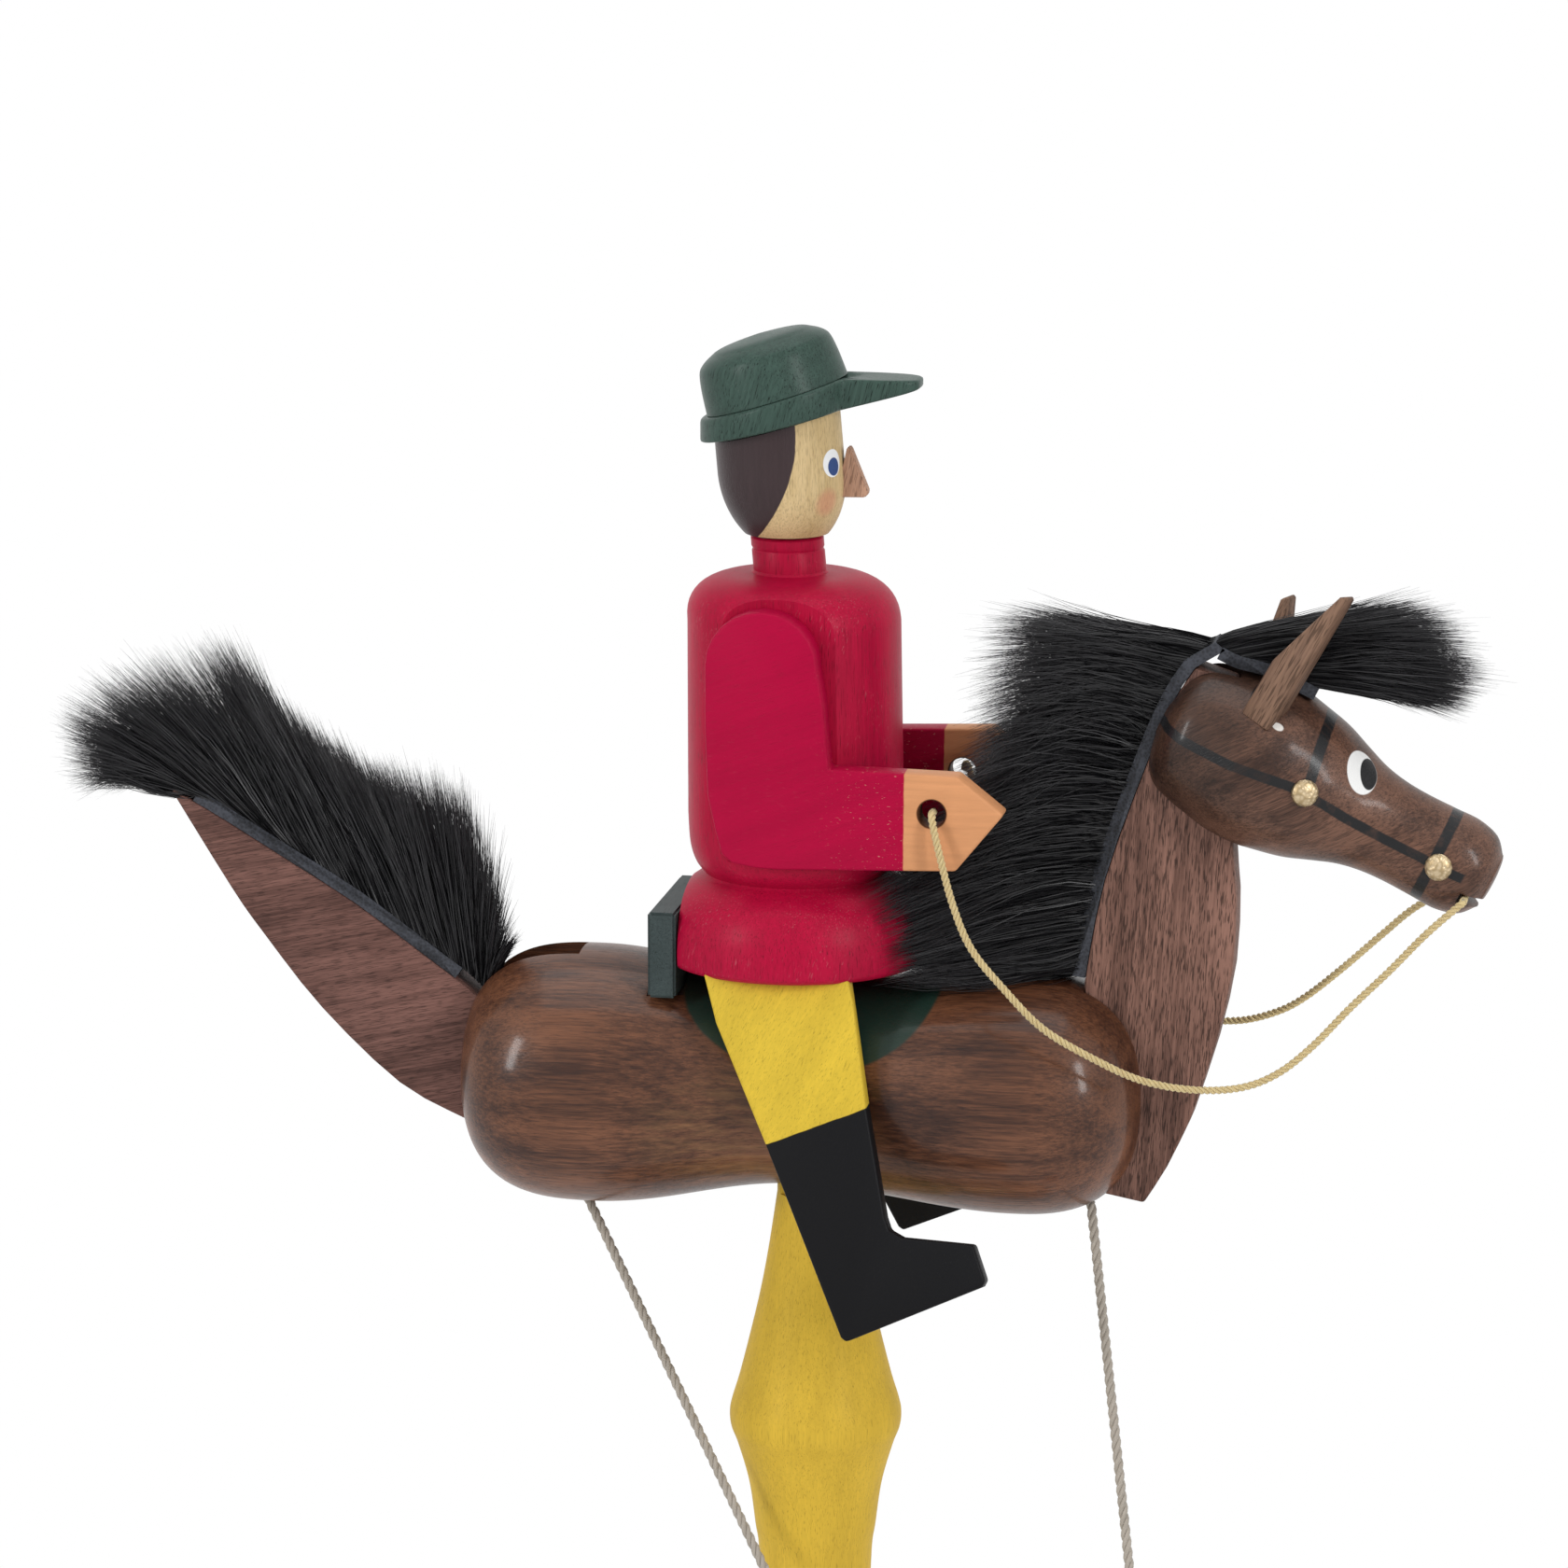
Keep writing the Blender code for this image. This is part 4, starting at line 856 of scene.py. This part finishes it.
def coatProfile():
    # boss, curves for skirt and waist, a squared quarter for the shoulder, a stepped collar
    q = np.linspace(0, np.pi / 2, 14)
    wide = rider.round * rider.shoulderWide
    out, up = np.cos(q) ** rider.square, np.sin(q) ** rider.square
    shoulder = np.c_[rider.trunk - wide * (1 - out), rider.top - rider.round * (1 - up)]
    collarFoot = np.array(rider.collarFoot) + (rider.collar, rider.top)
    collarRim = np.array(rider.collarRim) + (rider.collar, rider.collarTop)
    low, foot = rider.bossFoot, rider.skirt[0][1]
    boss = [(0.0, low), (rider.boss, low), (rider.boss, foot)]
    skirt, waist = spline(rider.skirt, 6), spline(rider.waist, 6)
    return np.vstack([boss, skirt, waist, shoulder, collarFoot, collarRim, [(0.0, rider.collarTop)]])


def handPaint(look, spot, colour, rough):
    x, y, z = look.parts(spot)
    hand = (x + look.waver(spot, 4.0, 0.6) - y.ramp(0.0, 1.0) * rider.farCuff).ramp(*rider.cuff)
    skin = look.shade(rider.hand, 0.82 + look.noise(spot, (12.0, 1.0, 1.0), 3.0) * 0.36)
    specks = look.noise(spot, (1.1, 1.1, 0.5), 3.0, 0.7).ramp(0.62, 0.67) * x.ramp(0.0, 18.0)
    colour = look.mix(specks * rider.cuffWear, colour, rider.bareWood)
    hole = oval(x, z - axisZ, *rider.hole).below(1.0, 0.093)
    return look.mix(hole, look.mix(hand, colour, skin), rider.holeBrown), rough


def bootPaint(look, spot, colour, rough):
    x, y, z = look.parts(spot)
    top = z - x * rider.bootSlope + look.waver(spot, 5.0, 0.5) - y.ramp(0.0, 1.0) * rider.farBoot
    boot = top.below(axisZ + rider.bootTop, 0.12)
    return look.mix(boot, colour, rider.boot), rough * (1 - boot) + boot * rider.bootRough


def facePaint(look, spot, colour, rough):
    # hair behind a parabola that runs back below the temple
    x, z = look.parts(spot)[::2]
    low = (face.hairFrom + axisZ - z).calc("MAXIMUM", 0.0)
    hair = (x + look.waver(spot, 5.0, 0.5) + low * low * face.hairCurve).below(face.hairLine, 0.12)
    cheek, eye, iris = (egg(look, spot, face[key], [face[key + "Size"]] * 3)
                        for key in ("cheek", "eye", "iris"))
    painted = look.mix(cheek.below(0.56, 0.5) * 0.5, colour, face.blush)
    brushed = look.shade(face.hair, 0.8 + look.noise(spot, (0.7, 0.7, 14.0), 3.0) * 0.4)
    painted = look.mix(hair, painted, brushed)
    painted = look.mix(eye.below(1.0, 0.07), painted, face.white)
    painted = look.mix(iris.below(1.0, 0.1), painted, face.irisBlue)
    return painted, rough * (1 - hair) + hair * face.hairRough


def makeCoat():
    # flats for the arms, room for the cantle, and a seat hollowed to the horse's back
    coat = leanMesh(turnedMesh(coatProfile(), riderBase), riderChest, rider.lean)
    half, (aside, foot) = rider.flatHalf, rider.flat
    up = rider.seat + foot + half[2]
    cuts = [((rider.x, side * (aside + half[1]), up), half) for side in (-1, 1)]
    room = (30.0, 40.0, 30.0)  # larger than what it takes away
    cuts.append(((cantle.front + glueGap - room[0], 0.0, room[2]), room))
    cuts.append(turnedBody(glueGap))
    red = paintedWood("coatRed", rider.coat, 90, 6)
    show(carve(coat, cuts), red, "rider_coat")


def makeFace():
    q = np.linspace(0, np.pi / 2, 40)
    chin = np.c_[face.radius * np.sin(q), face.centre - face.chin * np.cos(q)]
    chin = chin[chin[:, 1] > rider.collarTop + face.chinGap]
    top = face.centre + face.straight
    skull = np.vstack([[(0.0, chin[0, 1])], chin, [(face.radius, top), (0.0, top)]])
    skull = leanMesh(turnedMesh(skull, riderBase, 128), riderChest, rider.lean)
    c, s = cosSin(cap.underSlope)
    half = (60.0, 40.0, 40.0)  # a box under the cap that takes the skull's top
    lift = half[2] - glueGap
    hat = (cap.x - lift * s, 0.0, cap.under + lift * c)
    skin = stainedWood("faceWood", face.wood, 90, 9, facePaint)
    show(carve(skull, [(hat, half, -cap.underSlope)]), skin, "rider_head")
    noseWood = stainedWood("noseWood", face.nose, 80, 10)
    nose = prismMesh(face.noseOutline, face.noseThick / 2, face.noseEdge)
    show(nose, noseWood, "rider_nose")


def brimMesh():
    # plan radius: a circle and a blunt tongue, blended by a high power; the top follows the cap's slope
    # and then levels off, the underside is a plane, and the edge between them is rounded
    angle = np.linspace(-np.pi, np.pi, 192, endpoint=False)
    long, half = cap.visor
    ahead, aside = np.maximum(0.0, np.cos(angle)) / long, np.abs(np.sin(angle)) / half
    tongue = (ahead ** cap.blunt + aside ** cap.blunt) ** (-1 / cap.blunt)
    tongue = np.where(np.cos(angle) > 0, tongue, 0.0)
    edge = (cap.brim ** cap.fillet + tongue ** cap.fillet) ** (1 / cap.fillet)
    shares, insets, drops = (np.array(cap[key]) for key in ("shares", "insets", "drops"))
    radius = np.vstack([shares[:, None] * edge, edge - insets[:, None]])
    radius = np.vstack([radius, radius[::-1]])
    drop = np.concatenate([shares * 0, drops])
    x = radius * np.cos(angle)
    spots = np.stack([x + cap.x, radius * np.sin(angle), x], -1)
    steep, under = (math.tan(math.radians(cap[key])) for key in ("slope", "edgeSlope"))
    past = np.maximum(0.0, x - cap.level) / (long - cap.level)
    top = cap.top + steep * np.minimum(x, cap.level) - cap.droop * past ** 2
    low = cap.under + under * x
    fit = np.minimum(1.0, (top - low) / cap.fullEdge)
    rows = len(drop)
    spots[:rows, :, 2] = top[:rows] - drop[:, None] * fit[:rows]
    spots[rows:, :, 2] = low[rows:] + drop[::-1, None] * fit[rows:] * cap.lowEdge
    mesh = pushMesh(raised(spots).reshape(-1, 3) * mm, gridFaces(rows * 2, len(angle)))
    return tidyMesh(mesh, 50.0)


def makeCap():
    green = paintedWood("capGreen", rider.green, 75, 12)
    show(brimMesh(), green, "cap_brim")
    wide, tall = cap.radius, cap.height
    side = [(wide - inset, tall * share) for inset, share in cap.crown]
    crown = np.vstack([[(0.0, 0.1)], spline([(wide, 0.1)] + side + [(0.0, tall)], 8)])
    c, s = cosSin(cap.slope)
    mesh = turnedMesh(crown, raised((cap.x, 0.0, cap.top)), 128, (-s, 0.0, c))
    show(mesh, green, "cap_crown")


def makeRider():
    makeCoat()
    armRed = paintedWood("armRed", rider.sleeve, 20, 7, handPaint)
    yellow = paintedWood("legYellow", rider.trousers, 65, 8, bootPaint)
    for side in ("near", "far"):
        arm = carried(side + "_arm", armRed)
        if side == "near":
            moveEnd(arm.data, rider.handFrom, rider.handTrim)
        leg = carried(side + "_leg", yellow)
        moveEnd(leg.data, rider.legFrom, rider.legRise)
    makeFace()
    makeCap()
    saddleGreen = paintedWood("cantleGreen", rider.saddle, 90, 13, yaw=90)
    rear, front, low, high = cantle.front - cantle.thick, cantle.front, cantle.foot, cantle.top
    outline = [(rear, low), (front, low), (front, high), (rear, high)]
    back = prismMesh(outline, cantle.half, cantle.round)
    show(back, saddleGreen, "cantle", "cantleBoard")
    print("rider seated")


makeRider()


# stand: post and base; then the ball, the pin and the dowel
stand = Piece(
    post=Piece(rider.trousers, colour=(0.64, 0.42, 0.045)),
    dowel=Piece(dark=(0.5, 0.32, 0.16), light=(0.66, 0.46, 0.26), pore=(3.0, 0.3), poreDepth=0.3, rough=0.6,
        coat=0.0),
    baseRadius=75.0, baseThick=15.0, baseEdge=6.0, baseFoot=1.5, baseRings=[0.7, 0.4, 0.2, 0.0], tenon=8.0,
    tenonFoot=5.1, top=7.6, tongue=4.0, shoulder=298.0, tip=330.0, steel=(0.55, 0.55, 0.54),
    stations=[(13.9, 15.3), (15.0, 16.8), (15.0, 20.1), (13.9, 24.9), (10.5, 41.3), (15.0, 114.0),
        (10.9, 196.0), (11.2, 221.6), (12.06, 229.4), (13.3, 238.2), (15.5, 246.1), (16.8, 249.6),
        (17.1, 252.3), (16.7, 254.8), (15.1, 260.2), (12.9, 269.0), (10.9, 277.8), (9.3, 286.6),
        (7.6, 298.0)])


def makeStand():
    yellow = paintedWood("postYellow", stand.post, 90, 14)
    q = np.linspace(0, np.pi / 2, 12)
    foot, wide = stand.tenonFoot, stand.tenon
    low = [(0.0, foot), (wide, foot), (wide, stand.stations[0][1])]
    knob = np.c_[stand.top * np.cos(q), stand.tip + stand.top * np.sin(q)]
    profile = np.vstack([low, spline(stand.stations, 8), knob])
    reach = 60.0  # half size of the boxes that leave the tongue
    aside, up = stand.tongue + reach, stand.shoulder + reach - axisZ
    flats = [((0.0, side * aside, up), (reach, reach, reach)) for side in (-1, 1)]
    post = carve(turnedMesh(profile, (0, 0, 0), 96), flats)
    show(post, yellow, "post", "turnedPost", "stand")
    wide, thick, edge, low = stand.baseRadius, stand.baseThick, stand.baseEdge, stand.baseFoot
    rim = np.c_[wide - edge + edge * np.cos(q), thick - edge + edge * np.sin(q)]
    top = [(wide * share, thick) for share in stand.baseRings]
    plate = np.vstack([[(0.0, 0.0), (wide - low, 0.0), (wide, low)], rim, top])
    base = turnedMesh(plate, (0, 0, 0), 160)
    green = paintedWood("baseGreen", rider.green, 0, 15)
    show(base, green, "base", "roundBase", "stand")
    red = paintedWood("ballRed", rider.coat, 90, 16)
    turn = np.linspace(-np.pi / 2, np.pi / 2, 60)
    globe = strings.ballRadius * np.c_[np.cos(turn), np.sin(turn)]
    ball = turnedMesh(globe, raised(strings.ball), 96)
    show(ball, red, "pendulum_ball", "ballWeight", "pendulum")
    steel = Look("pinSteel")
    brushed = steel.noise(steel.spot(), (0.2, 4.0, 0.2))
    steel.set(baseColor=stand.steel, metallic=1.0, roughness=0.3 + brushed * 0.2)
    carried("pivot_pin", steel.material)
    carried("neck_dowel", stainedWood("dowelWood", stand.dowel, 90, 17))
    print("stand set")


makeStand()


# studio: pale floor and three soft boxes, in metres; the floor's fade is in millimetres
studio = Piece(
    floor=(0.86, 0.86, 0.86), floorHalf=30.0, fade=(170.0, 480.0), world=0.57, aim=(0.0, 0.0, 0.38),
    white=(1.0, 1.0, 1.0, 1.0),
    boxes=[("leftBox", (-1.1, -1.1, 0.95), (0.22, 0.75), 9.5),
        ("rightBox", (1.2, -0.9, 0.95), (0.22, 0.75), 9.5), ("topBox", (0.0, 0.1, 1.7), (1.2, 1.2), 7.0)])


def seenWhite(look):
    # 1 for rays that see the background as white: direct, by a mirror or through glass
    kinds = ("Is Camera Ray", "Is Glossy Ray", "Is Transmission Ray")
    direct, glossy, through = (look.node("ShaderNodeLightPath", out=kind) for kind in kinds)
    return direct.either(glossy).either(through)


def makeFloor():
    size = studio.floorHalf
    corners = np.array([(-size, -size, 0), (size, -size, 0), (size, size, 0), (-size, size, 0)])
    floor = linked("paleFloor", pushMesh(corners, np.array([[0, 1, 2, 3]])))
    pale = Look("paleFloor")
    pale.set(baseColor=studio.floor, roughness=0.8, specular=0.1)
    glow = pale.node("ShaderNodeEmission", None, {"Color": studio.white, "Strength": 1.0})
    x, y = pale.parts(pale.spot())[:2]
    away = (x * x + y * y).calc("SQRT").ramp(*studio.fade)
    matte = Sock(pale, pale.shader.outputs[0])
    blend = pale.node("ShaderNodeMixShader", None, {0: seenWhite(pale) * away, 1: matte, 2: glow})
    pale.tree.links.new(blend.socket, pale.tree.nodes["Material Output"].inputs["Surface"])
    floor.data.materials.append(pale.material)


def makeAir():
    world = bpy.data.worlds.new("studioAir")
    bpy.context.scene.world = world
    air = Graph(world)
    glow = air.tree.nodes["Background"]
    glow.inputs["Color"].default_value = studio.white
    air.feed(glow.inputs["Strength"], seenWhite(air) * (1.0 - studio.world) + studio.world)


def makeStudio():
    makeFloor()
    makeAir()
    for name, place, size, power in studio.boxes:
        lamp = bpy.data.lights.new(name, "AREA")
        lamp.shape = "RECTANGLE"
        lamp.size, lamp.size_y = size
        lamp.energy = power
        made = linked(name, lamp)
        made.location = place
        aim = Vector(studio.aim) - Vector(place)
        made.rotation_mode = "QUATERNION"
        made.rotation_quaternion = aim.to_track_quat("-Z", "Y")
    bpy.context.scene.view_settings.view_transform = "Standard"
    print("studio lit")


makeStudio()
